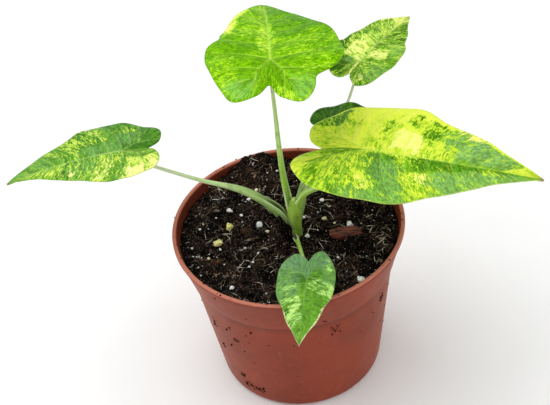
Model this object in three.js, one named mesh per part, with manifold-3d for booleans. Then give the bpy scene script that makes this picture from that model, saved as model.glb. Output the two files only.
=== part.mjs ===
// A young variegated Alocasia gageana in a 12 cm nursery pot.
// Millimetres, +Z up. The origin is the middle of the pot's underside, on the surface it stands on.
// +X runs to the right of the plant's front, and the front is the -Y side.

import * as THREE from 'three';
import { mergeVertices } from 'three/addons/utils/BufferGeometryUtils.js';
import Module from 'manifold-3d';

const wasm = await Module();
wasm.setup();

// Driving dimensions

const POT_HEIGHT = 96;
const RIM_RADIUS = 60;
const LIP_HEIGHT = 2.6;
const LIP_WIDTH = 1.9;
const WALL = 1.2;
const BAND_BOTTOM = 73;
const BAND_TOP_RADIUS = 58.9;
const BAND_BOTTOM_RADIUS = 54;
const BAND_STEP = 0.9;
const FOOT_RADIUS = 44.6;
const FOOT_CORNER = 4;
const FOOT_RING_WIDTH = 6;
const BOSS_RADIUS = 13;
const CHANNEL_RISE = 1.6;
const FLOOR_THICKNESS = 1.6;
const DRAIN_HOLES = 8;
const DRAIN_RADIUS = 4;
const DRAIN_CIRCLE = 24.5;

const SOIL_LEVEL = 88;
const SOIL_EDGE_RISE = 2;
// Heaps of soil: against the back wall, and where the left stalk leaves the stem
const SOIL_HEAPS = [
  { x: -15, y: 58, height: 6.5, reach: 15 },
  { x: -3.2, y: -0.4, height: 5, reach: 4.2 },
];
const SOIL_LUMPS = 70;
const SOIL_SEED = 12;

const GAP = 0.3;
const BLADE_THICKNESS = 0.9;

// The short stem that the leaf stalks leave, and the roots below it
const CROWN_TOP = 107;
const CROWN_BURIED_TO = 62;
const ROOTS = 6;
const ROOT_RADIUS = 1.3;

// Angles round a blade, from its tip (0) to the notch between its lobes (180), at which its outline
// is worked out from its length, half width, lobe and notch.
const OUTLINE_ANGLES = [0, 7, 17, 32, 55, 85, 115, 140, 157, 169, 180];

// Each leaf: where the leaf stalk meets the blade, the way the blade faces, its size, its curves and
// its stalk. Headings turn anticlockwise from +X seen from above. Left and right are as seen from
// above by someone looking towards the tip. A bulge is [angle from the tip, spread, share].
const LEAVES = {
  top: {
    at: [0.7, 12, 188.5],
    heading: 87.4, pitch: -5.4, roll: 14.6, twist: 1,
    length: 80, notch: 19.7, halfWidth: [31, 35], lobe: [32.7, 33.9], fullness: [0, 0.7],
    droop: 17, backDroop: 28, rise: [4, 19.5], arch: [29, 10],
    wave: { height: 1.3, count: 7, phase: 0.5 },
    bulges: [[[150, 11, 0.08], [55, 11, -0.16]], [[123.5, 16, -0.23], [165.5, 9, -0.07]]],
    stalk: {
      route: [[1.9, -1.3, 107.3], [1.4, 0.1, 113], [0.6, 2, 122], [0, 5, 140], [0.1, 8, 155.5],
        [0.1, 10.6, 172]],
      radii: [2.05, 2, 1.8, 1.5, 1.2, 0.95, 0.8],
      sheathTo: 0.18, sheathFacing: 40,
    },
  },
  right: {
    at: [39.9, -12, 146.9],
    heading: -17.6, pitch: -4.9, roll: 3, twist: 10.8,
    length: 85, notch: 21.2, halfWidth: [35.2, 37.5], lobe: [31.8, 34.9], fullness: [0.7, -0.2],
    droop: 6.4, backDroop: 23, rise: [6.1, 11.3], arch: [17.5, 17.7],
    wave: { height: 1.2, count: 7, phase: 2 },
    bulges: [[[96, 14, -0.12]], [[81, 15, -0.1]]],
    stalk: {
      route: [[5.9, -3.4, 107.3], [6.7, -3.9, 111.4], [8.6, -4.8, 115.2], [11.9, -6, 118.8],
        [17, -7.6, 122.4], [29, -9.8, 132.5]],
      radii: [1.9, 1.9, 1.75, 1.5, 1.3, 1.1, 0.9],
      sheathTo: 0.3, sheathFacing: 150,
    },
  },
  left: {
    at: [-77.5, 12, 145.2],
    heading: 188.6, pitch: 4.3, roll: 1.4, twist: -3.5,
    length: 58.2, notch: 13.7, halfWidth: [24.2, 24.9], lobe: [20.8, 23.3], fullness: [-0.3, 0.6],
    droop: 19.3, backDroop: 1, rise: [10.6, 7.8], arch: [20, 20.4],
    wave: { height: 1, count: 7, phase: 1 },
    bulges: [[[82.5, 13, -0.1], [163.5, 13.5, -0.15]], [[74, 12, 0.09]]],
    stalk: {
      route: [[-0.2, 1.2, 86], [-2.2, 1.2, 96], [-7.2, 1.4, 106], [-12.5, 2.4, 112], [-22, 4.5, 117.3],
        [-41.3, 7.5, 124.2], [-62, 10, 134]],
      radii: [2.5, 2.5, 2.4, 2.1, 1.35, 1.0, 0.9, 0.75],
      sheathTo: 0.42, sheathFacing: 35,
    },
  },
  back: {
    at: [47.2, 48, 156],
    heading: 44.7, pitch: 10.9, roll: 2.2, twist: 3.3,
    length: 43.5, notch: 10.1, halfWidth: [19, 17.6], lobe: [16.1, 17.9], fullness: [0.8, 0.6],
    droop: 14, backDroop: 8.4, rise: [12.4, 12], arch: [19.8, 16.8],
    wave: { height: 0.8, count: 6, phase: 0 },
    bulges: [[[64.5, 12, -0.12]], [[166.5, 11, -0.13], [42.5, 14, 0.12]]],
    stalk: {
      route: [[5.2, 1.5, 88.4], [5.7, 2.4, 94], [7.4, 3.4, 100], [9.6, 5.4, 108.6], [13.2, 9.6, 113.8],
        [25, 22, 124.8], [38.1, 36, 140.2], [42.2, 42, 146]],
      radii: [1.6, 1.6, 1.6, 1.5, 1.1, 0.8, 0.7, 0.65],
      sheathTo: 0.28, sheathFacing: 150,
    },
  },
  dark: {
    at: [31.2, 19, 139.2],
    heading: 0, pitch: 2, roll: 7, twist: 0,
    length: 38, notch: 8, halfWidth: [15, 13.5], lobe: [14.2, 10], fullness: [0.4, 0.4],
    droop: 16, backDroop: 6, rise: [9, 9], arch: [20, 20],
    wave: { height: 0.7, count: 6, phase: 1.4 },
    bulges: [[[140, 20, 0.12]], []],
    stalk: {
      route: [[3.9, 2.3, 88.4], [4.4, 4.4, 93], [5.8, 7.4, 100], [8, 9.6, 106], [11, 12, 112.5],
        [17, 14.8, 121], [25, 17.6, 130.5]],
      radii: [1.7, 1.6, 1.3, 1.0, 0.8, 0.7, 0.65],
      sheathTo: 0.25, sheathFacing: 120,
    },
  },
  front: {
    at: [5.2, -52, 105.4],
    heading: 255, pitch: -22.6, roll: 3.9, twist: 0,
    length: 33.5, notch: 8.9, halfWidth: [13.9, 15], lobe: [15.3, 14.2], fullness: [0.7, 0.8],
    droop: 2.4, backDroop: -3, rise: [9.5, 9], arch: [20.7, 21.7],
    wave: { height: 0.6, count: 6, phase: 0.8 },
    bulges: [[], [[166, 12, -0.14]]],
    stalk: {
      route: [[2.6, -5, 87.2], [3.2, -9, 91.4], [4.3, -22, 97], [5.2, -38, 101.4], [5.3, -46, 102.6]],
      radii: [1.25, 1.15, 1.05, 0.95, 0.85, 0.75],
      sheathTo: 0.2, sheathFacing: 90,
    },
  },
};

// Loose pieces on the soil: middle, size across, height, turn about Z and colour
const GRAINS = {
  feed_grain_front: { at: [-37, -3], size: [5.2, 4.4, 3.6], turn: 20, colour: '#b8a94e' },
  feed_grain_back: { at: [-30.2, 9.6], size: [5.6, 4.6, 3.8], turn: 70, colour: '#c9c58a' },
  perlite_left: { at: [-29.6, 19.8], size: [4.2, 3, 3], turn: 10, colour: '#ece9e2' },
  perlite_middle: { at: [-14.9, 8.3], size: [4, 3.2, 3], turn: 50, colour: '#f2efe9' },
  perlite_crown: { at: [8.4, -5.2], size: [4, 3.4, 3], turn: 30, colour: '#eeeae0' },
  perlite_right: { at: [32, 0.2], size: [4.2, 3.4, 3], turn: 80, colour: '#efe8da' },
  perlite_front: { at: [32, -42], size: [6.4, 2.6, 2.6], turn: 60, colour: '#ece9e2' },
};

const BARK = {
  at: [28.8, -7.2],
  length: 15, width: 6, thickness: 4, bevel: 0.6,
  turn: -10, tilt: 8, sink: 1.1,
};

// Small helpers

const degrees = THREE.MathUtils.degToRad;

function seededRandom(seed) {
  let state = seed >>> 0;
  return () => {
    state = (Math.imul(state, 1664525) + 1013904223) >>> 0;
    return state / 4294967296;
  };
}

// A smooth curve through stations: cubic pieces whose slopes come from their neighbours. It leaves
// the first station a little steeper than the straight way, and reaches the last one level.
const TIP_SLOPE = 1.25;

function alongStations(stations, values, place) {
  const last = stations.length - 1;
  const secant = (i) => (values[i + 1] - values[i]) / (stations[i + 1] - stations[i]);
  const slope = (i) => {
    if (i === 0) return TIP_SLOPE * secant(0);
    if (i === last) return 0;
    const before = stations[i] - stations[i - 1];
    const after = stations[i + 1] - stations[i];
    return (after * secant(i - 1) + before * secant(i)) / (before + after);
  };
  let i = 0;
  while (i < last - 1 && place >= stations[i + 1]) i += 1;
  const step = stations[i + 1] - stations[i];
  const t = (place - stations[i]) / step;
  return (1 + 2 * t) * (1 - t) ** 2 * values[i] + t * (1 - t) ** 2 * step * slope(i)
    + t * t * (3 - 2 * t) * values[i + 1] + t * t * (t - 1) * step * slope(i + 1);
}

function bareIndexed(geometry) {
  const bare = geometry.clone();
  for (const name of ['normal', 'uv']) {
    if (bare.getAttribute(name)) bare.deleteAttribute(name);
  }
  return mergeVertices(bare, 1e-4);
}

function toSolid(geometry) {
  const bare = bareIndexed(geometry);
  const mesh = new wasm.Mesh({
    numProp: 3,
    vertProperties: new Float32Array(bare.getAttribute('position').array),
    triVerts: new Uint32Array(bare.getIndex().array),
  });
  return new wasm.Manifold(mesh);
}

// The largest connected body of a solid, as a geometry. Loose scraps left by a cut are dropped.
function toGeometry(solid) {
  const bodies = solid.decompose();
  const volume = (body) => body.volume();
  const main = bodies.reduce((best, body) => (volume(body) > volume(best) ? body : best));
  const mesh = main.getMesh();
  const geometry = new THREE.BufferGeometry();
  geometry.setAttribute('position', new THREE.BufferAttribute(mesh.vertProperties, 3));
  geometry.setIndex(new THREE.BufferAttribute(mesh.triVerts, 1));
  return geometry;
}

function meshOf(name, geometry, colour, roughness) {
  geometry.computeVertexNormals();
  const material = new THREE.MeshStandardMaterial({ color: colour, roughness, metalness: 0 });
  const mesh = new THREE.Mesh(geometry, material);
  mesh.name = name;
  return mesh;
}

// Pot: one moulded shell with a lip, a rim band and a raised channel with drain holes underneath

const LIP_BOTTOM = POT_HEIGHT - LIP_HEIGHT;
const FOOT_INNER = FOOT_RADIUS - FOOT_CORNER - FOOT_RING_WIDTH;
const FLOOR_TOP = CHANNEL_RISE + FLOOR_THICKNESS;

// Radius of the pot's inner face at a height above its floor
function potInnerRadius(z) {
  const heights = [FLOOR_TOP, FOOT_CORNER + 2, BAND_BOTTOM - BAND_STEP, BAND_BOTTOM + 1, POT_HEIGHT];
  const radii = [
    FOOT_RADIUS - WALL - 1.2,
    FOOT_RADIUS - WALL,
    BAND_BOTTOM_RADIUS - BAND_STEP - WALL,
    BAND_BOTTOM_RADIUS - WALL,
    RIM_RADIUS - LIP_WIDTH,
  ];
  let i = 0;
  while (i < heights.length - 2 && z > heights[i + 1]) i += 1;
  const share = (z - heights[i]) / (heights[i + 1] - heights[i]);
  return THREE.MathUtils.lerp(radii[i], radii[i + 1], THREE.MathUtils.clamp(share, 0, 1));
}

function buildPot() {
  const corner = [];
  const CORNER_STEPS = 3;
  for (let i = 0; i <= CORNER_STEPS; i += 1) {
    const turn = (i / CORNER_STEPS) * (Math.PI / 2);
    corner.push([
      FOOT_RADIUS - FOOT_CORNER + FOOT_CORNER * Math.sin(turn),
      FOOT_CORNER - FOOT_CORNER * Math.cos(turn),
    ]);
  }
  const LIP_EASE = 0.6;
  const profile = [
    [0, 0],
    [BOSS_RADIUS, 0],
    [BOSS_RADIUS + 1, CHANNEL_RISE],
    [FOOT_INNER - 1, CHANNEL_RISE],
    [FOOT_INNER, 0],
    ...corner,
    [BAND_BOTTOM_RADIUS - BAND_STEP, BAND_BOTTOM - BAND_STEP],
    [BAND_BOTTOM_RADIUS, BAND_BOTTOM],
    [BAND_TOP_RADIUS, LIP_BOTTOM - LIP_EASE],
    [RIM_RADIUS - 0.2, LIP_BOTTOM],
    [RIM_RADIUS, POT_HEIGHT - LIP_EASE],
    [RIM_RADIUS - LIP_EASE, POT_HEIGHT],
    [RIM_RADIUS - LIP_WIDTH + LIP_EASE / 2, POT_HEIGHT],
    [potInnerRadius(POT_HEIGHT - LIP_EASE), POT_HEIGHT - LIP_EASE],
    [potInnerRadius(BAND_BOTTOM + 1), BAND_BOTTOM + 1],
    [potInnerRadius(BAND_BOTTOM - BAND_STEP), BAND_BOTTOM - BAND_STEP],
    [potInnerRadius(FOOT_CORNER + 2), FOOT_CORNER + 2],
    [potInnerRadius(FLOOR_TOP), FLOOR_TOP],
    [0, FLOOR_TOP],
  ];
  const shell = new THREE.LatheGeometry(profile.map(([r, z]) => new THREE.Vector2(r, z)), 72);
  shell.rotateX(Math.PI / 2);
  let pot = toSolid(shell);
  for (let i = 0; i < DRAIN_HOLES; i += 1) {
    const turn = (i / DRAIN_HOLES) * 2 * Math.PI;
    const drill = new THREE.CylinderGeometry(DRAIN_RADIUS, DRAIN_RADIUS, 4 * FLOOR_TOP, 16);
    drill.rotateX(Math.PI / 2);
    drill.translate(DRAIN_CIRCLE * Math.cos(turn), DRAIN_CIRCLE * Math.sin(turn), FLOOR_TOP);
    pot = pot.subtract(toSolid(drill));
  }
  return toGeometry(pot);
}

// Soil: fills the pot to a lumpy surface, with a heap against the back wall

const soilLumps = (() => {
  const random = seededRandom(SOIL_SEED);
  const lumps = [];
  for (let i = 0; i < SOIL_LUMPS; i += 1) {
    const reach = 2.4 + 3.2 * random();
    const distance = (potInnerRadius(SOIL_LEVEL) - reach) * Math.sqrt(random());
    const turn = 2 * Math.PI * random();
    const height = (random() < 0.3 ? -0.9 : 1) * (0.5 + 1.1 * random());
    lumps.push({ x: distance * Math.cos(turn), y: distance * Math.sin(turn), reach, height });
  }
  return lumps;
})();

function soilHeight(x, y) {
  const distance = Math.hypot(x, y);
  const edge = THREE.MathUtils.smoothstep(distance, 0.55 * RIM_RADIUS, 0.93 * RIM_RADIUS);
  let height = SOIL_LEVEL + SOIL_EDGE_RISE * edge;
  for (const lump of [...SOIL_HEAPS, ...soilLumps]) {
    const away = Math.hypot(x - lump.x, y - lump.y) / lump.reach;
    height += lump.height * Math.exp(-away * away);
  }
  return height;
}

function buildSoilBlank() {
  const SPOKES = 48;
  const RINGS = 14;
  const sideHeights = [BAND_BOTTOM + 1, BAND_BOTTOM - BAND_STEP, FOOT_CORNER + 2, FLOOR_TOP + GAP];
  const points = [[0, 0, soilHeight(0, 0)]];
  for (let ring = 1; ring <= RINGS; ring += 1) {
    for (let spoke = 0; spoke < SPOKES; spoke += 1) {
      const turn = (spoke / SPOKES) * 2 * Math.PI;
      const radius = (ring / RINGS) * (potInnerRadius(SOIL_LEVEL) - GAP);
      const x = radius * Math.cos(turn);
      const y = radius * Math.sin(turn);
      points.push([x, y, soilHeight(x, y)]);
    }
  }
  for (const z of sideHeights) {
    for (let spoke = 0; spoke < SPOKES; spoke += 1) {
      const turn = (spoke / SPOKES) * 2 * Math.PI;
      const radius = potInnerRadius(z) - GAP;
      points.push([radius * Math.cos(turn), radius * Math.sin(turn), z]);
    }
  }
  points.push([0, 0, FLOOR_TOP + GAP]);
  return ringStack(points, SPOKES, RINGS + sideHeights.length);
}

// A closed body from a first point, rings of equal count, and a last point
function ringStack(points, count, rings) {
  const faces = [];
  const first = (ring) => 1 + ring * count;
  for (let i = 0; i < count; i += 1) {
    const next = (i + 1) % count;
    faces.push(0, first(0) + i, first(0) + next);
    for (let ring = 0; ring < rings - 1; ring += 1) {
      faces.push(first(ring) + i, first(ring + 1) + i, first(ring + 1) + next);
      faces.push(first(ring) + i, first(ring + 1) + next, first(ring) + next);
    }
    faces.push(first(rings - 1) + i, points.length - 1, first(rings - 1) + next);
  }
  const geometry = new THREE.BufferGeometry();
  geometry.setAttribute('position', new THREE.Float32BufferAttribute(points.flat(), 3));
  geometry.setIndex(faces);
  return geometry;
}

// Blades

// Directions of a blade at its stalk: towards the tip, to the left, and out of the upper face
function bladeFrame(leaf) {
  const heading = degrees(leaf.heading);
  const pitch = degrees(leaf.pitch);
  const roll = degrees(leaf.roll);
  const forward = new THREE.Vector3(
    Math.cos(heading) * Math.cos(pitch),
    Math.sin(heading) * Math.cos(pitch),
    Math.sin(pitch),
  );
  const level = new THREE.Vector3(-Math.sin(heading), Math.cos(heading), 0);
  const upright = new THREE.Vector3().crossVectors(forward, level);
  const left = level.clone().multiplyScalar(Math.cos(roll)).addScaledVector(upright, Math.sin(roll));
  const up = upright.clone().multiplyScalar(Math.cos(roll)).addScaledVector(level, -Math.sin(roll));
  return { forward, left, up };
}

// Distance from the stalk to the margin. side is 0 for left and 1 for right.
function marginRadius(leaf, side, angle) {
  const { length, notch } = leaf;
  const half = leaf.halfWidth[side];
  const lobe = leaf.lobe[side];
  const full = leaf.fullness[side];
  const radii = [
    length,
    (0.8 + 0.04 * full) * length,
    (0.655 + 0.07 * full) * length,
    (0.26 * length + 0.6 * half) * (1 + 0.08 * full),
    (0.19 * length + 0.66 * half) * (1 + 0.03 * full),
    half,
    0.74 * half + 0.25 * lobe,
    0.35 * half + 0.65 * lobe,
    lobe,
    0.62 * lobe + 0.38 * notch,
    notch,
  ];
  const plain = alongStations(OUTLINE_ANGLES, radii, angle);
  const bulge = leaf.bulges[side].reduce(
    (sum, [middle, spread, share]) => sum + share * Math.exp(-(((angle - middle) / spread) ** 2)),
    1,
  );
  return plain * bulge;
}

// A length laid along an arc that turns by `turn` over `span`
function alongArc(distance, turn, span) {
  const curvature = Math.abs(turn) < 1e-4 ? 1e-4 / span : turn / span;
  const angle = curvature * distance;
  return { along: Math.sin(angle) / curvature, rise: (1 - Math.cos(angle)) / curvature, angle };
}

// The point of a blade's upper face at `share` of the way to the margin, in the given direction
function bladePoint(leaf, frame, direction, share) {
  const side = direction >= 0 ? 0 : 1;
  const reach = share * marginRadius(leaf, side, Math.abs(THREE.MathUtils.radToDeg(direction)));
  const lengthwise = reach * Math.cos(direction);
  const sideways = Math.abs(reach * Math.sin(direction));
  const spine = lengthwise >= 0
    ? alongArc(lengthwise, -degrees(leaf.droop), leaf.length)
    : alongArc(-lengthwise, -degrees(leaf.backDroop), leaf.lobe[0]);
  const sign = lengthwise >= 0 ? 1 : -1;
  const rise = degrees(leaf.rise[side]);
  const curvature = degrees(leaf.arch[side]) / leaf.halfWidth[0];
  const edgeSlope = rise - curvature * sideways;
  const across = (Math.sin(rise) - Math.sin(edgeSlope)) / curvature * (side === 0 ? 1 : -1);
  const lift = (Math.cos(edgeSlope) - Math.cos(rise)) / curvature;
  const twist = degrees(leaf.twist) * (lengthwise / leaf.length);
  const ripple = leaf.wave.height * Math.sin(leaf.wave.count * direction + leaf.wave.phase) * share ** 3;
  const acrossTwisted = across * Math.cos(twist) - lift * Math.sin(twist);
  const liftTwisted = across * Math.sin(twist) + lift * Math.cos(twist) + ripple;
  const spineAngle = sign * spine.angle;
  const forward = sign * spine.along - Math.sin(spineAngle) * liftTwisted;
  const upward = spine.rise + Math.cos(spineAngle) * liftTwisted;
  return new THREE.Vector3(...leaf.at)
    .addScaledVector(frame.forward, forward)
    .addScaledVector(frame.left, acrossTwisted)
    .addScaledVector(frame.up, upward);
}

function buildBlade(leaf) {
  const frame = bladeFrame(leaf);
  const SPOKES_PER_SIDE = 18;
  const RING_SHARES = [0.3, 0.56, 0.8, 1];
  const count = 2 * SPOKES_PER_SIDE;
  const directions = [];
  for (let i = 0; i < count; i += 1) {
    const share = (i <= SPOKES_PER_SIDE ? i : i - count) / SPOKES_PER_SIDE;
    directions.push(Math.PI * (share - 0.09 * Math.sin(2 * Math.PI * share)));
  }
  const upper = [bladePoint(leaf, frame, 0, 0)];
  for (const share of RING_SHARES) {
    for (const direction of directions) upper.push(bladePoint(leaf, frame, direction, share));
  }
  const faces = [];
  const first = (ring) => 1 + ring * count;
  for (let i = 0; i < count; i += 1) {
    const next = (i + 1) % count;
    faces.push([0, first(0) + i, first(0) + next]);
    for (let ring = 0; ring < RING_SHARES.length - 1; ring += 1) {
      faces.push([first(ring) + i, first(ring + 1) + i, first(ring + 1) + next]);
      faces.push([first(ring) + i, first(ring + 1) + next, first(ring) + next]);
    }
  }
  const face = new THREE.BufferGeometry().setFromPoints(upper);
  face.setIndex(faces.flat());
  face.computeVertexNormals();
  const normals = face.getAttribute('normal');
  const lower = upper.map((point, i) => point.clone().addScaledVector(
    new THREE.Vector3().fromBufferAttribute(normals, i),
    -BLADE_THICKNESS,
  ));
  const offset = upper.length;
  const edge = first(RING_SHARES.length - 1);
  const all = [...faces, ...faces.map(([a, b, c]) => [a + offset, c + offset, b + offset])];
  for (let i = 0; i < count; i += 1) {
    const next = (i + 1) % count;
    all.push([edge + i, edge + i + offset, edge + next + offset]);
    all.push([edge + i, edge + next + offset, edge + next]);
  }
  const blade = new THREE.BufferGeometry().setFromPoints([...upper, ...lower]);
  blade.setIndex(all.flat());
  return blade;
}

// Stalks, stem and roots

// The open side of a stalk's sheath: its depth as a share of the radius, and its spread in radians
const SHEATH_DEPTH = 0.55;
const SHEATH_SPREAD = 0.75;

// A round tapering body along a route, with an open channel pressed into its sheathed part.
// `grow` widens it all over, for the hole it stands in.
function taperedBody(route, radii, options = {}) {
  const { sides = 10, steps = 14, grow = 0, sheathTo = 0, sheathFacing = 0 } = options;
  const curve = new THREE.CatmullRomCurve3(route.map((p) => new THREE.Vector3(...p)), false, 'centripetal');
  const frames = curve.computeFrenetFrames(steps, false);
  const stations = radii.map((_, i) => i / (radii.length - 1));
  const rounds = [];
  const ends = [curve.getPointAt(0), curve.getPointAt(1)];
  ends[0].addScaledVector(frames.tangents[0], -grow);
  ends[1].addScaledVector(frames.tangents[steps], grow);
  for (let i = 0; i <= steps; i += 1) {
    const share = i / steps;
    let centre = curve.getPointAt(share);
    if (i === 0) [centre] = ends;
    if (i === steps) [, centre] = ends;
    const radius = alongStations(stations, radii, share) + grow;
    const sheathed = grow === 0 && sheathTo > 0;
    const open = sheathed ? 1 - THREE.MathUtils.smoothstep(share, 0.7 * sheathTo, sheathTo) : 0;
    for (let j = 0; j < sides; j += 1) {
      const turn = (j / sides) * 2 * Math.PI;
      const away = turn - degrees(sheathFacing);
      const fromOpening = Math.atan2(Math.sin(away), Math.cos(away));
      const pressed = 1 - SHEATH_DEPTH * open * Math.exp(-((fromOpening / SHEATH_SPREAD) ** 2));
      rounds.push(centre.clone()
        .addScaledVector(frames.normals[i], radius * pressed * Math.cos(turn))
        .addScaledVector(frames.binormals[i], radius * pressed * Math.sin(turn)));
    }
  }
  const points = [ends[1], ...reversedRings(rounds, sides), ends[0]].map((p) => p.toArray());
  return ringStack(points, sides, steps + 1);
}

// Rings from the far end back to the near end, so that the body's faces point outwards
function reversedRings(rounds, sides) {
  const rings = [];
  for (let start = rounds.length - sides; start >= 0; start -= sides) {
    rings.push(...rounds.slice(start, start + sides));
  }
  return rings;
}

// The route of a leaf stalk: its own points, then square up to the underside of the blade
const STALK_BEND = 2.6;

function stalkRoute(leaf) {
  const { up } = bladeFrame(leaf);
  const under = BLADE_THICKNESS + GAP;
  const end = new THREE.Vector3(...leaf.at).addScaledVector(up, -under);
  const bend = end.clone().addScaledVector(up, -STALK_BEND);
  return [...leaf.stalk.route, bend.toArray(), end.toArray()];
}

function buildStalk(leaf, grow = 0) {
  const { radii, sheathTo, sheathFacing } = leaf.stalk;
  const steps = leaf.stalk.route.length * 3;
  return taperedBody(stalkRoute(leaf), radii, { grow, sheathTo, sheathFacing, steps, sides: 10 });
}

const CROWN_ROUTE = [
  [4.6, 0.4, CROWN_BURIED_TO],
  [4.2, -0.6, 76],
  [3.8, -1.6, SOIL_LEVEL],
  [3.7, -2.1, 97],
  [3.9, -2.3, CROWN_TOP],
];
const CROWN_RADII = [2.6, 4.2, 3.2, 3, 3.9];

// The short stem with its main roots, which spread out and down inside the soil
function crownSolid(grow = 0) {
  let crown = toSolid(taperedBody(CROWN_ROUTE, CROWN_RADII, { grow, sides: 14, steps: 12 }));
  const random = seededRandom(5);
  for (let i = 0; i < ROOTS; i += 1) {
    const turn = (i / ROOTS) * 2 * Math.PI + 0.5 * random();
    const start = 66 + 7 * random();
    const spread = 24 + 9 * random();
    const depth = 14 + 16 * random();
    const out = (distance, z) => [4.4 + distance * Math.cos(turn), distance * Math.sin(turn) - 0.3, z];
    const route = [
      out(0, start + 1),
      out(0.35 * spread, start - 5),
      out(0.8 * spread, 0.5 * (start + depth)),
      out(spread, depth),
    ];
    const root = taperedBody(route, [ROOT_RADIUS, ROOT_RADIUS, 0.9, 0.5], { grow, sides: 6, steps: 8 });
    crown = crown.add(toSolid(root));
  }
  return crown;
}

// Loose pieces

// A knobbly grain resting half sunk in the soil. `grow` widens it for its socket.
function buildGrain(name, { at, size, turn }, grow = 0) {
  const grain = new THREE.IcosahedronGeometry(0.5, 1);
  const random = seededRandom(name.length * 7 + Math.round(size[0] * 10));
  const bare = bareIndexed(grain);
  const position = bare.getAttribute('position');
  for (let i = 0; i < position.count; i += 1) {
    const knob = 0.88 + 0.24 * random();
    position.setXYZ(i, position.getX(i) * knob, position.getY(i) * knob, position.getZ(i) * knob);
  }
  bare.scale(size[0] + 2 * grow, size[1] + 2 * grow, size[2] + 2 * grow);
  bare.rotateZ(degrees(turn));
  bare.translate(at[0], at[1], soilHeight(...at) + 0.12 * size[2]);
  return bare;
}

// A flat chip of bark with one broken end, lying on the soil
function buildBark(grow = 0) {
  const long = BARK.length / 2 + grow;
  const wide = BARK.width / 2 + grow;
  const outline = new THREE.Shape([
    new THREE.Vector2(-long, -0.75 * wide),
    new THREE.Vector2(-0.8 * long, -wide),
    new THREE.Vector2(0.55 * long, -0.9 * wide),
    new THREE.Vector2(long, -0.35 * wide),
    new THREE.Vector2(0.86 * long, 0.5 * wide),
    new THREE.Vector2(0.5 * long, 0.95 * wide),
    new THREE.Vector2(-0.9 * long, wide),
    new THREE.Vector2(-0.97 * long, 0.2 * wide),
  ]);
  const depth = BARK.thickness + 2 * grow - 2 * BARK.bevel;
  const bark = new THREE.ExtrudeGeometry(outline, {
    depth,
    steps: 1,
    bevelEnabled: true,
    bevelThickness: BARK.bevel,
    bevelSize: 0.5,
    bevelSegments: 1,
  });
  bark.translate(0, 0, -depth / 2);
  bark.rotateX(degrees(BARK.tilt));
  bark.rotateZ(degrees(BARK.turn));
  bark.translate(BARK.at[0], BARK.at[1], soilHeight(...BARK.at) + BARK.thickness / 2 - BARK.sink);
  return bark;
}

// Assembly

const plant = new THREE.Group();
plant.add(meshOf('pot', buildPot(), '#9a4a34', 0.45));

const crown = crownSolid();
const leaves = Object.entries(LEAVES);
const holes = [crownSolid(GAP)];
for (const [, leaf] of leaves) holes.push(toSolid(buildStalk(leaf, GAP)));
for (const [name, grain] of Object.entries(GRAINS)) holes.push(toSolid(buildGrain(name, grain, GAP)));
holes.push(toSolid(buildBark(GAP)));

let soil = toSolid(buildSoilBlank());
for (const hole of holes) soil = soil.subtract(hole);
plant.add(meshOf('soil', toGeometry(soil), '#2c211b', 0.95));
plant.add(meshOf('crown_and_roots', toGeometry(crown), '#6d9440', 0.5));

// Each stalk gives way to the stem and to the stalks that were set before it
let taken = crownSolid(GAP);
for (const [name, leaf] of leaves) {
  const stalk = toSolid(buildStalk(leaf)).subtract(taken);
  plant.add(meshOf(`stalk_${name}`, toGeometry(stalk), '#93b866', 0.5));
  taken = taken.add(toSolid(buildStalk(leaf, GAP)));
}

const BLADE_COLOURS = {
  top: '#7cc02a', right: '#b5d93a', left: '#6faa3c', back: '#8fc04a', dark: '#2f6b33', front: '#5c9a4a',
};
for (const [name, leaf] of leaves) {
  plant.add(meshOf(`blade_${name}`, buildBlade(leaf), BLADE_COLOURS[name], 0.4));
}

for (const [name, grain] of Object.entries(GRAINS)) {
  plant.add(meshOf(name, buildGrain(name, grain), grain.colour, 0.9));
}
plant.add(meshOf('bark_chip', buildBark(), '#6b3a26', 0.85));

export default plant;
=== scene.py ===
"""Visual model of a young variegated Alocasia gageana in a 12 cm nursery pot.

Sizes are millimetres in the part's own frame: +Z is up, the origin is the middle of the pot's underside,
and the plant's front is the -Y side. Meshes are made in metres.
"""

import logging
import math
from dataclasses import dataclass
from enum import Enum
from functools import partial
from typing import Dict, List, Sequence, Tuple, Union

import bpy
import numpy as np
from mathutils import Matrix, Vector, noise


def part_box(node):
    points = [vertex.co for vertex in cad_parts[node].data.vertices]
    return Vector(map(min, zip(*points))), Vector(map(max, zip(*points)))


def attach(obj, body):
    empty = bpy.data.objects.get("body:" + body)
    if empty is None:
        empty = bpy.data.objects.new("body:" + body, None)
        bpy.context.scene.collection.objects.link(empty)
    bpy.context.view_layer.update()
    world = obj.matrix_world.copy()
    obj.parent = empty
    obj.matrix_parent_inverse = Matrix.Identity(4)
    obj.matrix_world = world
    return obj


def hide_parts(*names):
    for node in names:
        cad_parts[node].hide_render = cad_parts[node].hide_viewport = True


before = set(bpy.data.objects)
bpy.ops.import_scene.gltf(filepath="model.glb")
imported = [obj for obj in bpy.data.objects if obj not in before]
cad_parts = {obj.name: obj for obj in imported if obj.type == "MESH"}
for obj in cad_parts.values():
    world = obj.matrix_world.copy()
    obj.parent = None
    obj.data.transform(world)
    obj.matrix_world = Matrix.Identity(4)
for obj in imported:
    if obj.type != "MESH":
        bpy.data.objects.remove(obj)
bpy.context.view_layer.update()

LOG = logging.getLogger("plant")
MM = 0.001
BODY = "root"

Array = np.ndarray
Material = bpy.types.Material
Piece = bpy.types.Object
Socket = bpy.types.NodeSocket
Tree = bpy.types.NodeTree
Pair = Tuple[float, float]
Point = Tuple[float, float, float]
Four = Tuple[float, float, float, float]
Numbers = Tuple[float, ...]
Values = Dict[str, Array]
Given = Union[Socket, float, str, Numbers, Material, None]
Inputs = Dict[Union[int, str], Given]

NO_VALUES: Values = {}


# Small helpers


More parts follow.
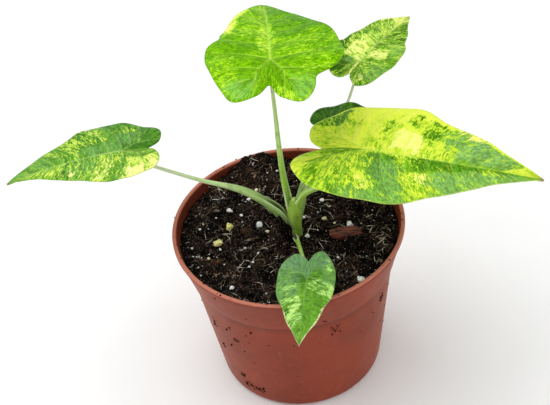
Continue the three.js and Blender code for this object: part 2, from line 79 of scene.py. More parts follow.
def paint(code: str) -> Numbers:
    """Turn a colour as seen on a screen into light amounts.

    Args:
        code: Two hexadecimal digits each for red, green and blue.

    Returns:
        Linear red, green, blue and a full alpha.
    """
    parts = [int(code[i : i + 2], 16) / 255 for i in (0, 2, 4)]
    red, green, blue = (p / 12.92 if p <= 0.04045 else ((p + 0.055) / 1.055) ** 2.4 for p in parts)
    return (red, green, blue, 1.0)


def smooth(low: float, high: float, value: Array) -> Array:
    """Rise from 0 at low to 1 at high, level at both ends."""
    t = np.clip((value - low) / (high - low), 0, 1)
    return t * t * (3 - 2 * t)


def window(low: float, high: float, blur: float, value: Array) -> Array:
    """Give 1 from low to high and 0 outside, over a soft edge as wide as blur."""
    return smooth(low - blur, low + blur, value) * (1 - smooth(high - blur, high + blur, value))


def near(distance: Array, reach: float) -> Array:
    """Fall from 1 at no distance, through about a third at the reach, to 0."""
    return np.exp(-((distance / reach) ** 2))


def full_turn(steps: int) -> Array:
    """Give angles once round in radians, the last the same as the first so that seams close."""
    return np.append(np.linspace(0, 2 * math.pi, steps + 1)[:-1], 0.0)


def layered(*parts: Array) -> Array:
    """Stack arrays on a new last axis, for any shapes that broadcast together."""
    return np.stack(np.broadcast_arrays(*parts), -1)


def around(radius: Array, turn: Array, height: Array) -> Array:
    """Lay points round the Z axis."""
    return layered(radius * np.cos(turn), radius * np.sin(turn), height)


class Draws:
    """Repeatable random numbers from 0 to 1, by the same rule as the part's own source."""

    MULTIPLIER = 1664525
    INCREMENT = 1013904223
    MODULUS = 2**32

    def __init__(self, seed: int) -> None:
        """Keep the starting state."""
        self.state = seed

    def next(self) -> float:
        """Return the next number."""
        self.state = (self.state * self.MULTIPLIER + self.INCREMENT) % self.MODULUS
        return self.state / self.MODULUS

    def between(self, low: float, high: float) -> float:
        """Return the next number, spread from low to high."""
        return low + (high - low) * self.next()


def relief_noise(points: Array, scale: float, octaves: int, seed: float) -> Array:
    """Read a smooth random field.

    Args:
        points: Points in millimetres, three coordinates on the last axis.
        scale: Size of the largest features, in millimetres.
        octaves: How many times finer features are added.
        seed: Moves the field, for another draw.

    Returns:
        Values around 0, about -1 to 1, one for each point.
    """
    loss, fineness = 0.9, 2.1
    shift = Vector((seed, 1.7 * seed, -seed))
    flat = points.reshape(-1, 3) / scale
    values = [noise.fractal(Vector(p) + shift, loss, fineness, octaves) for p in flat]
    return np.array(values).reshape(points.shape[:-1])


def into_scene(name: str, data: bpy.types.ID) -> Piece:
    """Put a mesh, light or camera in the scene as an object of its own.

    Args:
        name: The object's name.
        data: What it shows.

    Returns:
        The object.
    """
    thing = bpy.data.objects.new(name, data)
    bpy.context.scene.collection.objects.link(thing)
    return thing


def solid_box(node: str) -> Tuple[Array, Array]:
    """Give the lowest and the highest corner of a solid, in millimetres."""
    low, high = (np.array(corner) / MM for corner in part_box(node))
    return low, high


class MeshDraft:
    """Points and faces gathered for one mesh, with values that its finish reads at the faces' corners."""

    WELD = 1e-3
    OFF_GRID = 0.000137

    def __init__(self) -> None:
        """Start with nothing."""
        self.points: List[Array] = []
        self.faces: List[Tuple[int, ...]] = []
        self.values: Dict[str, List[Array]] = {}
        self.count = 0

    def add_grid(self, points: Array, values: Values = NO_VALUES, flip: bool = False) -> None:
        """Add a grid of points and the faces between them.

        Args:
            points: Rows by columns by three, in millimetres.
            values: Three numbers for each point, by the name that the finish reads.
            flip: Whether the faces look the other way.
        """
        rows, columns = points.shape[:2]
        index = self.count + np.arange(rows * columns).reshape(rows, columns)
        quads = np.stack([index[:-1, :-1], index[1:, :-1], index[1:, 1:], index[:-1, 1:]], -1)
        if flip:
            quads = quads[..., ::-1]
        self.faces.extend(map(tuple, quads.reshape(-1, 4).tolist()))
        self.points.append(points.reshape(-1, 3))
        for name, value in values.items():
            self.values.setdefault(name, []).append(value.reshape(-1, 3))
        self.count += rows * columns

    def add_fan(self, ring: Array, values: Values = NO_VALUES, flip: bool = False) -> None:
        """Close a ring of points with triangles to its middle.

        Args:
            ring: Points round the ring, the first repeated at the end.
            values: Values at the ring's points.
            flip: Whether the faces look the other way.
        """
        middle = np.broadcast_to(ring[:-1].mean(0), ring.shape)
        self.add_grid(np.stack([ring, middle]), {n: np.stack([v, v]) for n, v in values.items()}, flip)

    def build(self, name: str, finish: Material, smooth_shading: bool = True) -> Piece:
        """Weld the points and make the piece, in metres and with its faces outwards.

        Args:
            name: The piece's name.
            finish: Its material.
            smooth_shading: Whether its faces are shaded as one curved surface.

        Returns:
            The piece, in the scene.
        """
        points = np.concatenate(self.points)
        keys = np.round((points + self.OFF_GRID) / self.WELD).astype(np.int64)
        _, kept, renamed = np.unique(keys, axis=0, return_index=True, return_inverse=True)
        renamed = renamed.reshape(-1)
        places = points[kept]
        faces: List[List[int]] = []
        corners: List[List[int]] = []
        for face in self.faces:
            welded = [int(renamed[i]) for i in face]
            keep = [k for k in range(len(face)) if welded[k] != welded[k - 1]]
            left = [welded[k] for k in keep]
            if len(left) > 2 and len(set(left)) == len(left):
                faces.append(left)
                corners.append([face[k] for k in keep])
        if self._volume(places, faces) < 0:
            faces = [face[::-1] for face in faces]
            corners = [corner[::-1] for corner in corners]
        mesh = bpy.data.meshes.new(name)
        mesh.from_pydata((places * MM).tolist(), [], faces)
        order = np.array([i for corner in corners for i in corner])
        for title, parts in self.values.items():
            attribute = mesh.attributes.new(title, "FLOAT_VECTOR", "CORNER")
            attribute.data.foreach_set("vector", np.concatenate(parts)[order].astype(np.float32).ravel())
        mesh.polygons.foreach_set("use_smooth", [smooth_shading] * len(mesh.polygons))
        mesh.materials.append(finish)
        mesh.update()
        return into_scene(name, mesh)

    @staticmethod
    def _volume(places: Array, faces: List[List[int]]) -> float:
        """Measure six times the space inside the faces, less than 0 where they look inwards.

        Args:
            places: The welded points.
            faces: Each face's points, by number.

        Returns:
            The volume.
        """
        fans = np.array([(f[0], f[k], f[k + 1]) for f in faces for k in range(1, len(f) - 1)])
        a, b, c = (places[fans[:, k]] for k in range(3))
        return float((a * np.cross(b, c)).sum())


def hand_over(piece: Piece, slot: str, *nodes: str) -> None:
    """Tie a finished piece to the frame and report it.

    Args:
        piece: The finished piece.
        slot: The record's material slot that its finish stands for. It is not used.
        nodes: The solids that it stands for.
    """
    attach(piece, BODY)
    if nodes:
        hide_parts(*nodes)
    LOG.info("%s: %d faces, for %s", piece.name, len(piece.data.polygons), ", ".join(nodes) or "no solid")


def settle(piece: Piece, name: str) -> Piece:
    """Turn a piece with live modifiers into a plain mesh.

    Args:
        piece: The piece whose modifiers are evaluated. It is removed.
        name: The name of the plain piece.

    Returns:
        A new piece at the origin with no modifiers.
    """
    graph = bpy.context.evaluated_depsgraph_get()
    mesh = bpy.data.meshes.new_from_object(piece.evaluated_get(graph), depsgraph=graph)
    bpy.data.objects.remove(piece)
    mesh.name = name
    return into_scene(name, mesh)


def add_node(tree: Tree, kind: str, inputs: Inputs, **settings: object) -> bpy.types.NodeOutputs:
    """Add a node to a material or to a Geometry Nodes tree.

    Args:
        tree: The tree.
        kind: The node's type.
        inputs: What its sockets get, by name or number: another node's output, which is linked, a colour
            code, or a value. None leaves a socket as it is.
        settings: The node's own settings.

    Returns:
        Its outputs.
    """
    node = tree.nodes.new(kind)
    for name, value in settings.items():
        setattr(node, name, value)
    for key, value in inputs.items():
        if isinstance(value, Socket):
            tree.links.new(value, node.inputs[key])
        elif value is not None:
            node.inputs[key].default_value = paint(value) if isinstance(value, str) else value
    return node.outputs


# Finishes


class Board:
    """A material's node tree, with short calls for the nodes that the finishes use."""

    def __init__(self, name: str) -> None:
        """Start an empty material.

        Args:
            name: The material's name.
        """
        self.material = bpy.data.materials.new(name)
        self.material.use_nodes = True
        self.tree = self.material.node_tree
        self.tree.nodes.clear()

    def node(self, kind: str, inputs: Inputs, **settings: object) -> bpy.types.NodeOutputs:
        """Add a shader node, and give its outputs."""
        return add_node(self.tree, f"ShaderNode{kind}", inputs, **settings)

    def surface(self, **sockets: Given) -> Material:
        """Put the principled shader on the surface.

        Args:
            sockets: What the shader's sockets get, by name with underscores for spaces.

        Returns:
            The finished material.
        """
        shader = self.node("BsdfPrincipled", {name.replace("_", " "): v for name, v in sockets.items()})
        self.node("OutputMaterial", {"Surface": shader[0]})
        return self.material

    def object_point(self) -> Socket:
        """Give the place on the object, in metres."""
        return self.node("TexCoord", {})["Object"]

    def carried(self, name: str) -> Socket:
        """Give the three numbers that the mesh carries under a name."""
        return self.node("Attribute", {}, attribute_name=name)["Vector"]

    def split(self, vector: Socket) -> Tuple[Socket, ...]:
        """Take a vector apart into its three numbers."""
        return tuple(self.node("SeparateXYZ", {0: vector}))

    def join(self, x: Given, y: Given, z: Given) -> Socket:
        """Put three numbers together as a vector."""
        return self.node("CombineXYZ", {0: x, 1: y, 2: z})[0]

    def stretch(self, vector: Socket, scale: Point, shift: Point = (0, 0, 0), turn: float = 0) -> Socket:
        """Scale a vector, turn it about Z by some radians, and move it."""
        inputs = {0: vector, "Scale": scale, "Location": shift, "Rotation": (0, 0, turn)}
        return self.node("Mapping", inputs)[0]

    def sum(self, a: Given, b: Given, operation: str = "ADD") -> Socket:
        """Work out a number from two others, by the named operation."""
        return self.node("Math", {0: a, 1: b}, operation=operation)[0]

    def times(self, a: Given, b: Given) -> Socket:
        """Multiply two numbers."""
        return self.sum(a, b, "MULTIPLY")

    def cloud(
        self, where: Socket, scale: float, detail: float = 3, rough: float = 0.55, warp: float = 0
    ) -> Socket:
        """Give soft random grey, mostly from 0.25 to 0.75, with finer layers and a pattern pushed about."""
        inputs = {"Vector": where, "Scale": scale, "Detail": detail, "Roughness": rough, "Distortion": warp}
        return self.node("TexNoise", inputs)[0]

    def cells(self, where: Socket, scale: float) -> Socket:
        """Give the distance to the nearest of many scattered points."""
        return self.node("TexVoronoi", {"Vector": where, "Scale": scale})["Distance"]

    def step(self, value: Given, low: float, high: float, top: float = 1, bottom: float = 0) -> Socket:
        """Rise smoothly from bottom at low to top at high."""
        inputs = {"Value": value, "From Min": low, "From Max": high, "To Min": bottom, "To Max": top}
        return self.node("MapRange", inputs, interpolation_type="SMOOTHSTEP")[0]

    def blend(self, share: Given, first: Given, second: Given, mode: str = "MIX") -> Socket:
        """Mix two colours by a share.

        Args:
            share: 0 for the first colour and 1 for the second.
            first: One colour.
            second: The other.
            mode: How the second acts on the first.

        Returns:
            The mixed colour.
        """
        factor, colour_a, colour_b, result = 0, 6, 7, 2
        inputs = {factor: share, colour_a: first, colour_b: second}
        return self.node("Mix", inputs, data_type="RGBA", blend_type=mode)[result]

    def bump(self, height: Socket, depth: float, strength: float = 1, under: Given = None) -> Socket:
        """Roughen the surface by heights, where 1 stands for depth metres, over another bump."""
        inputs = {"Height": height, "Distance": depth, "Strength": strength, "Normal": under}
        return self.node("Bump", inputs)[0]


@dataclass(frozen=True)
class PotPlastic:
    """Thin moulded terracotta-coloured plastic with a soft sheen, scuffs and dust.

    Levels and the inner radius are in metres. The radius grows by `inner_taper` of the height. A painted
    shadow lies under the ledge, painted shade darkens the inner face between `inside_bottom` and
    `inside_top`, and the `lip` colour is a painted highlight along the top of the lip.
    """

    body: str = "8a3418"
    deep: str = "782c13"
    pale: str = "c06c55"
    # The lip colour is a painted highlight along the top of the lip.
    lip: str = "d88a74"
    shade: str = "42180e"
    sheen: str = "e48a68"
    roughness: float = 0.42
    lip_bottom: float = 0.0948
    lip_top: float = 0.0957
    ledge: float = 0.072
    ledge_top: float = 0.0731
    shadow_bottom: float = 0.0655
    blur: float = 0.0004
    inside_bottom: float = 0.07
    inside_top: float = 0.076
    inner_radius: float = 0.0355
    inner_taper: float = 0.247

    def make(self, name: str) -> Material:
        """Build the material.

        Args:
            name: The material's name.

        Returns:
            The material.
        """
        board = Board(name)
        here = board.object_point()
        x, y, z = board.split(here)
        drift = board.cloud(here, 28, 3)
        colour = board.blend(board.step(drift, 0.3, 0.7), self.deep, self.body)
        streaks = board.cloud(board.join(x, y, board.times(z, 0.35)), 260, 3, 0.6)
        colour = board.blend(board.step(streaks, 0.56, 0.8, 0.16), colour, self.pale)
        dust = board.cloud(here, 90, 5, 0.65)
        low = board.step(z, 0.06, 0.0, 0.26, 0.08)
        colour = board.blend(board.times(board.step(dust, 0.52, 0.72), low), colour, self.pale)

        # Painted shadow: a dark line on the ledge under the band, and softer painted shade below it, in the
        # shade colour.
        under_line = board.step(z, self.ledge_top, self.ledge_top + self.blur, 0, 1)
        line = board.times(board.step(z, self.ledge - 2 * self.blur, self.ledge, 0.9), under_line)
        under_ledge = board.step(z, self.ledge - self.blur, self.ledge, 0, 1)
        below = board.times(board.step(z, self.shadow_bottom, self.ledge - self.blur, 0.3), under_ledge)
        colour = board.blend(board.sum(line, below, "MAXIMUM"), colour, self.shade)

        # Painted shade: the inner face above the soil and below the lip is darkened to the shade colour.
        from_axis = board.sum(board.sum(board.times(x, x), board.times(y, y)), 0.5, "POWER")
        from_wall = board.sum(from_axis, board.times(z, self.inner_taper), "SUBTRACT")
        inside = board.step(from_wall, self.inner_radius, self.inner_radius - 0.0007)
        inside = board.times(inside, board.step(z, self.inside_bottom, self.inside_top))
        lip_edge = (self.lip_bottom + 2 * self.blur, self.lip_bottom - 2 * self.blur)
        inside = board.times(inside, board.step(z, *lip_edge, 0.6))
        colour = board.blend(inside, colour, self.shade)
        # Painted highlight: the top of the lip is lightened to the lip colour.
        colour = board.blend(board.step(z, self.lip_bottom, self.lip_top, 0.62), colour, self.lip)

        bump = board.bump(board.cloud(here, 1400, 2, 0.5), 0.00006, 0.5)
        bump = board.bump(board.cloud(here, 60, 2), 0.0006, 0.35, bump)
        rough = board.step(dust, 0.3, 0.75, self.roughness + 0.14, self.roughness)
        return board.surface(
            Base_Color=colour, Roughness=rough, Normal=bump, Specular_IOR_Level=0.22,
            Sheen_Weight=0.24, Sheen_Roughness=0.35, Sheen_Tint=self.sheen,
        )


@dataclass(frozen=True)
class SoilFinish:
    """Moist dark peat, near black with warmer brown crumbs."""

    wet: str = "080504"
    brown: str = "2a1d16"
    warm: str = "523a2c"
    share_of_brown: float = 0.5
    speck: str = "c0b09a"
    grain_scale: float = 420

    def make(self, name: str) -> Material:
        """Build the material.

        Args:
            name: The material's name.

        Returns:
            The material.
        """
        board = Board(name)
        here = board.object_point()
        broad = board.cloud(here, 90, 4, 0.6)
        fine = board.cloud(here, self.grain_scale, 4, 0.65)
        edge = 0.72 - 0.36 * self.share_of_brown
        colour = board.blend(board.step(broad, edge - 0.12, edge + 0.16), self.wet, self.brown)
        colour = board.blend(board.step(fine, 0.6, 0.74, 0.75), colour, self.warm)
        colour = board.blend(board.step(board.cells(here, 900), 0.22, 0.1, 0.7), colour, self.speck)
        bump = board.bump(fine, 0.0012, 0.9)
        bump = board.bump(board.cloud(here, 1300, 3, 0.7), 0.0004, 0.8, bump)
        rough = board.step(broad, 0.35, 0.65, 0.95, 0.5)
        return board.surface(Base_Color=colour, Roughness=rough, Normal=bump, Specular_IOR_Level=0.05)


@dataclass(frozen=True)
class FibreFinish:
    """Dry coir and root fibres, from dark brown to pale straw."""

    dark: str
    mid: str
    pale: str
    share_pale: float

    def make(self, name: str) -> Material:
        """Build the material.

        Args:
            name: The material's name.

        Returns:
            The material.
        """
        board = Board(name)
        here = board.object_point()
        tone = board.cloud(here, 160, 1, 0.4)
        colour = board.blend(board.step(tone, 0.4, 0.52), self.dark, self.mid)
        edge = 0.7 - 0.25 * self.share_pale
        colour = board.blend(board.step(tone, edge - 0.03, edge + 0.06), colour, self.pale)
        colour = board.blend(board.step(board.cloud(here, 1500, 2), 0.5, 0.7, 0.4), colour, self.mid)
        bump = board.bump(board.cloud(here, 2500, 2), 0.0001, 0.6)
        return board.surface(Base_Color=colour, Roughness=0.8, Normal=bump)


@dataclass(frozen=True)
class GrainFinish:
    """A porous grain: white perlite, or a dull yellow grain of feed."""

    body: str
    shade: str
    pit: str
    pit_scale: float = 1500

    def make(self, name: str) -> Material:
        """Build the material.

        Args:
            name: The material's name.

        Returns:
            The material.
        """
        board = Board(name)
        here = board.object_point()
        colour = board.blend(board.step(board.cloud(here, 420, 3, 0.6), 0.42, 0.68), self.body, self.shade)
        pits = board.cells(here, self.pit_scale)
        colour = board.blend(board.step(pits, 0.26, 0.12, 0.75), colour, self.pit)
        stain = board.cloud(board.stretch(here, (1, 1, 1), (0.2, 0, 0)), 700, 3, 0.7)
        colour = board.blend(board.step(stain, 0.64, 0.78, 0.7), colour, self.pit)
        bump = board.bump(board.step(pits, 0.1, 0.45), 0.0003, 0.8)
        bump = board.bump(board.cloud(here, 2600, 3), 0.00015, 0.7, bump)
        return board.surface(Base_Color=colour, Roughness=0.85, Normal=bump)


@dataclass(frozen=True)
class BarkFinish:
    """Rough reddish-brown bark with long splits."""

    red: str = "86402a"
    dark: str = "240f0a"
    pale: str = "b06c50"
    grain_turn: float = math.radians(-10)

    def make(self, name: str) -> Material:
        """Build the material.

        Args:
            name: The material's name.

        Returns:
            The material.
        """
        board = Board(name)
        turned = board.stretch(board.object_point(), (1, 1, 1), turn=-self.grain_turn)
        splits = board.cloud(board.stretch(turned, (0.22, 1.3, 1)), 900, 4, 0.6, 0.4)
        colour = board.blend(board.step(splits, 0.38, 0.6), self.dark, self.red)
        colour = board.blend(board.step(board.cloud(turned, 240, 3), 0.56, 0.72, 0.6), colour, self.pale)
        return board.surface(Base_Color=colour, Roughness=0.8, Normal=board.bump(splits, 0.0008, 0.9))


@dataclass(frozen=True)
class StalkFinish:
    """Smooth green stalk with fine lengthwise lines, darker at the base and pale along the sheath's edge.

    The mesh carries `growth` (share of the length, turns, millimetres of length) and `sheath` (edge and
    channel, each from 0 to 1, and the height in millimetres). Painted shade in the channel colour darkens
    the inside of an open sheath.
    """

    base: str
    middle: str
    far: str
    edge: str = "e8f4c6"
    # channel is a dark green for fine lines and blotches, and for the painted shade inside an open sheath.
    channel: str = "365618"
    deep_height: float = 0.09
    fresh_height: float = 0.108
    line_count: float = 9.0

    def make(self, name: str) -> Material:
        """Build the material.

        Args:
            name: The material's name.

        Returns:
            The material.
        """
        board = Board(name)
        share, turn, length = board.split(board.carried("growth"))
        edge, channel, _ = board.split(board.carried("sheath"))
        here = board.object_point()
        fresh = board.step(board.split(here)[2], self.deep_height, self.fresh_height)
        colour = board.blend(fresh, self.base, self.middle)
        colour = board.blend(board.step(share, 0.3, 1.0), colour, self.far)
        drawn_out = board.join(board.times(turn, self.line_count), board.times(length, 0.045), 0.0)
        lines = board.cloud(drawn_out, 1, 3, 0.6)
        colour = board.blend(board.step(lines, 0.5, 0.66, 0.28), colour, self.edge)
        colour = board.blend(board.step(lines, 0.5, 0.36, 0.22), colour, self.channel)
        colour = board.blend(board.step(board.cloud(here, 230, 3), 0.52, 0.7, 0.3), colour, self.channel)
        # Painted shade: the inside of an open sheath's channel is darkened to the channel colour.
        colour = board.blend(board.times(channel, 0.85), colour, self.channel)
        colour = board.blend(board.times(edge, 0.92), colour, self.edge)
        return board.surface(
            Base_Color=colour, Roughness=0.42, Normal=board.bump(lines, 0.0002, 0.6),
            Specular_IOR_Level=0.3, Subsurface_Weight=0.12, Subsurface_Scale=0.0015,
        )


@dataclass(frozen=True)
class BladeFinish:
    """A satin leaf whose green cells give way to lime and cream ones in patches and streaks.

    The mesh carries `streak` (millimetres round the margin, millimetres along the side vein, seed),
    `tissue_and_sheen` (shares of lime, cream and grey, the grey being painted sheen), `tone` (dark share,
    underside, tip), `veins` (rib, side vein, millimetres from the margin) and `fold` (-1 to 1 across a side
    vein, from its far side, which sets painted shading). A fine pebbled surface is painted in light and
    shade too.
    """

    deep: str
    green: str
    bright: str
    half: str
    lime: str
    pale: str
    cream: str
    # grey is the colour of the painted sheen, a grey-green stand-in for light reflected off the blade.
    grey: str
    vein: str
    margin: str
    under: str = "8fb56a"
    tip: str = "b98a72"
    gloss: str = "dcff96"
    blotch: float = 0.17
    streak: float = 0.62
    fleck: float = 1.3
    weights: Point = (0.32, 0.4, 0.28)
    flow: float = 0.34
    warp: float = 0.9
    crispness: float = 0.13
    vein_share: float = 0.72
    side_vein_share: float = 0.65
    pebble: float = 0.9
    pebble_shading: float = 0.13
    fold_shading: float = 0.09
    roughness: float = 0.4
    shine: float = 0.17

    NOISE_SPREAD = 0.074
    WIDE_SPREAD = 0.083
    SPREADS_TO_EDGE = 2.23
    DARK_SOFTNESS = 0.5

    def _even(self, board: Board, grey: Socket, spread: float) -> Socket:
        """Turn soft random grey into values spread evenly from 0 to 1."""
        half = self.SPREADS_TO_EDGE * spread
        return board.step(grey, 0.5 - half, 0.5 + half)

    def _mottle(self, board: Board, place: Socket, draw: float) -> Socket:
        """Mix blotches, streaks and flecks into one even pattern.

        Args:
            board: The material.
            place: Where on the blade it is read.
            draw: Picks one pattern of many.

        Returns:
            Values spread evenly from 0 to 1.
        """
        total: Given = 0.0
        for k, (weight, size) in enumerate(zip(self.weights, (self.blotch, self.streak, self.fleck))):
            flow = (1, self.flow ** (0.6 if k == 0 else 1), 1)
            layer = board.cloud(board.stretch(place, flow, (0, 0, draw + 7 * k)), size, 3, 0.6, self.warp)
            total = board.sum(total, board.times(layer, weight))
        return self._even(board, total, self.NOISE_SPREAD * math.hypot(*self.weights))

    def _covered(self, board: Board, pattern: Socket, share: Socket, late: float, soft: float) -> Socket:
        """Cover about the given share of the pattern, less where late is above 0."""
        raised = board.sum(board.times(share, 1 + soft), -soft / 2 - late)
        return board.step(board.sum(pattern, raised), 1 - soft / 2, 1 + soft / 2)

    def make(self, name: str) -> Material:
        """Build the material.

        Args:
            name: The material's name.

        Returns:
            The material.
        """
        board = Board(name)
        place = board.carried("streak")
        lime, cream, grey = board.split(board.carried("tissue_and_sheen"))
        dark, underside, tip = board.split(board.carried("tone"))
        rib, side_vein, from_margin = board.split(board.carried("veins"))
        mottle = self._mottle(board, place, 0.0)
        shade = self._mottle(board, place, 50.0)
        wide = board.cloud(board.stretch(place, (1, 0.8, 1), (0, 0, 90)), 0.13, 2)

        colour = board.blend(self._even(board, wide, self.WIDE_SPREAD), self.green, self.bright)
        colour = board.blend(self._covered(board, shade, dark, 0.0, self.DARK_SOFTNESS), colour, self.deep)
        # Painted sheen: grey-green patches in place of the light reflected off the blade, mostly on the
        # lobes.
        sheen_share = board.times(grey, board.step(shade, 0.1, 0.9, 1.0, 0.55))
        colour = board.blend(board.times(sheen_share, 0.85), colour, self.grey)
        tissues = (
            (lime, 0.0, 3, self.half), (lime, 0.18, 1.5, self.lime),
            (lime, 0.5, 2.5, self.pale), (cream, 0.0, 1, self.cream),
        )
        for share, late, softness, shade_of_it in tissues:
            covered = self._covered(board, mottle, share, late, softness * self.crispness)
            colour = board.blend(covered, colour, shade_of_it)

        # Painted light and shade, overlaid on the colour: a fine pebbled surface, and beside each side vein
        # a darker and a lighter side.
        pebbles = board.cloud(board.stretch(place, (1, 0.5, 1), (0, 0, 23)), self.pebble, 2, 0.7, 0.7)
        fold = board.split(board.carried("fold"))[0]
        painted_shading = ((pebbles, 0.38, 0.62, self.pebble_shading), (fold, 1, -1, self.fold_shading))
        for relief, low, high, depth in painted_shading:
            light = board.step(relief, low, high, 0.5 + depth, 0.5 - depth)
            colour = board.blend(1.0, colour, light, "OVERLAY")
        ribs = board.sum(rib, board.times(side_vein, self.side_vein_share), "MAXIMUM")
        colour = board.blend(board.times(ribs, self.vein_share), colour, self.vein)
        colour = board.blend(board.step(from_margin, 0.7, 0.1, 0.4), colour, self.margin)
        colour = board.blend(board.times(tip, 0.8), colour, self.tip)
        colour = board.blend(board.times(underside, 0.45), colour, self.under)

        veinlets = board.cloud(board.stretch(place, (1.9, 0.12, 1), (0, 0, 3)), 1, 2, 0.5)
        bump = board.bump(veinlets, 0.0005, 0.7)
        bump = board.bump(board.cloud(place, 0.7, 3, 0.6), 0.0009, 0.7, bump)
        rough = board.step(shade, 0.1, 0.9, self.roughness + 0.1, self.roughness)
        return board.surface(
            Base_Color=colour, Roughness=rough, Normal=bump, Specular_IOR_Level=self.shine,
            Specular_Tint=self.gloss, Subsurface_Weight=0.03, Subsurface_Scale=0.001,
        )


# Pot


@dataclass
class Pot:
    """The nursery pot: one moulded shell with a lip, a rim band, a foot ring and drain holes."""

    height: float = 96
    rim_radius: float = 60
    lip_height: float = 2.6
    lip_width: float = 1.9
    wall: float = 1.2
    band_bottom: float = 73
    band_top_radius: float = 58.9
    band_bottom_radius: float = 54
    band_step: float = 0.9
    foot_radius: float = 44.6
    foot_corner: float = 4
    foot_ring_width: float = 6
    boss_radius: float = 13
    channel_rise: float = 1.6
    floor_thickness: float = 1.6
    drain_holes: int = 8
    drain_radius: float = 4
    drain_circle: float = 24.5
    spokes: int = 256
    tallest_face: float = 6
    finish: PotPlastic = PotPlastic()

    def __post_init__(self) -> None:
        """Work out the levels that several parts of the pot share."""
        self.floor_top = self.channel_rise + self.floor_thickness
        self.lip_foot = self.height - self.lip_height
        self.ledge = self.band_bottom - self.band_step
        self.ledge_radius = self.band_bottom_radius - self.band_step

    def inner_radius(self, z: float) -> float:
        """Give the radius of the pot's inner face at a height.

        Args:
            z: Height over the floor.

        Returns:
            The radius.
        """
        heights = (self.floor_top, self.foot_corner + 2, self.ledge, self.band_bottom + 1, self.height)
        foot = self.foot_radius - self.wall
        band = (self.ledge_radius - self.wall, self.band_bottom_radius - self.wall)
        return float(np.interp(z, heights, (foot - 1.2, foot, *band, self.rim_radius - self.lip_width)))

    def outer_radius(self, z: float) -> float:
        """Give the radius of the pot's outer face at a height above its rounded foot.

        Args:
            z: Height over the floor.

        Returns:
            The radius.
        """
        outline = (
            (0, self.foot_radius - self.foot_corner), (self.foot_corner, self.foot_radius),
            (self.ledge, self.ledge_radius), (self.band_bottom, self.band_bottom_radius),
            (self.lip_foot - 0.6, self.band_top_radius), (self.lip_foot, self.rim_radius - 0.2),
            (self.height, self.rim_radius),
        )
        return float(np.interp(z, *zip(*outline)))

    def profile(self) -> Array:
        """Trace the wall's section from the middle underneath, round the lip, to the middle inside.

        Returns:
            Its points as (x, 0, z).
        """
        foot_inner = self.foot_radius - self.foot_corner - self.foot_ring_width
        inside = self.inner_radius
        corners = (
            (0.0, 0.0, 0.0),
            (self.boss_radius, 0.0, 0.5), (self.boss_radius + 1, self.channel_rise, 0.5),
            (foot_inner - 1, self.channel_rise, 0.5), (foot_inner, 0.0, 0.5),
            (self.foot_radius - 0.7, 0.0, self.foot_corner), (self.ledge_radius, self.ledge, 0.4),
            (self.band_bottom_radius, self.band_bottom, 0.4),
            (self.band_top_radius - 0.1, self.lip_foot - 1.5, 0.5),
            (self.band_top_radius, self.lip_foot - 0.4, 0.3),
            (self.rim_radius - 0.1, self.lip_foot + 0.1, 0.45), (self.rim_radius, self.height, 0.75),
            (self.rim_radius - self.lip_width, self.height, 0.7),
            (inside(self.height - 3), self.height - 3, 0.6),
            (inside(self.band_bottom + 1), self.band_bottom + 1, 0.5),
            (inside(self.ledge), self.ledge, 0.5),
            (inside(self.floor_top) + 0.6, self.floor_top, 1.5), (0.0, self.floor_top, 0.0),
        )
        return rounded(corners, 5)

    def build(self) -> None:
        """Turn the section round the axis, drill the drain holes and dress the pot."""
        profile = self.profile()
        fine: List[Array] = []
        for start, end in zip(profile, profile[1:]):
            parts = max(1, int(np.hypot(*(end - start)) / self.tallest_face))
            fine.extend(start + (end - start) * k / parts for k in range(parts))
        radius, height = np.array([*fine, profile[-1]]).T[..., None]
        draft = MeshDraft()
        draft.add_grid(around(radius, full_turn(self.spokes), height))
        material = self.finish.make("pot_plastic")
        blank = draft.build("pot_blank", material)
        drills = self._drills(material)
        cut = blank.modifiers.new("drain_holes", "BOOLEAN")
        cut.operation = "DIFFERENCE"
        cut.solver = "EXACT"
        cut.object = drills
        hand_over(settle(blank, "pot_shell"), "pot_plastic", "pot")
        bpy.data.objects.remove(drills)

    def _drills(self, material: Material) -> Piece:
        """Make the rods that the drain holes are cut with.

        Args:
            material: The pot's finish.

        Returns:
            All rods as one piece.
        """
        draft = MeshDraft()
        for k in range(self.drain_holes):
            angle = 2 * math.pi * k / self.drain_holes
            middle = self.drain_circle * np.array([math.cos(angle), math.sin(angle), 0])
            rings = [around(self.drain_radius, full_turn(32), z) + middle for z in (-3.0, 6.0)]
            draft.add_fan(rings[0], flip=True)
            draft.add_grid(np.stack(rings), flip=True)
            draft.add_fan(rings[1])
        return draft.build("drain_drills", material, False)


def rounded(corners: Sequence[Point], steps: int) -> Array:
    """Round off the corners of an open line.

    Args:
        corners: Points of the line, each with how far from it the rounding starts.
        steps: Straight pieces in each rounding.

    Returns:
        The rounded line's points.
    """
    points: List[Array] = []
    for i, (r, z, ease) in enumerate(corners):
        here = np.array((r, z))
        if ease == 0:
            points.append(here)
            continue
        before = np.array(corners[i - 1][:2]) - here
        after = np.array(corners[i + 1][:2]) - here
        reach = min(ease, 0.45 * np.hypot(*before), 0.45 * np.hypot(*after))
        start = here + before / np.hypot(*before) * reach
        end = here + after / np.hypot(*after) * reach
        for t in (k / steps for k in range(steps + 1)):
            points.append((1 - t) ** 2 * start + 2 * t * (1 - t) * here + t * t * end)
    return np.array(points)


# Soil


class Litter(Enum):
    """What is scattered over the soil."""

    CRUMB = "crumb"
    LUMP = "lump"
    FIBRE = "fibre"
    FLAKE = "flake"


@dataclass(frozen=True)
class LitterForm:
    """How the pieces of one kind of litter look.

    `least` and `greatest` are proportions, `lean` is how far a piece may lean out of level in radians, and
    `noise_scale` and `noise_depth` (metres) are of the noise that makes each piece different.
    """

    least: Point
    greatest: Point
    lean: float
    noise_scale: float
    noise_depth: float


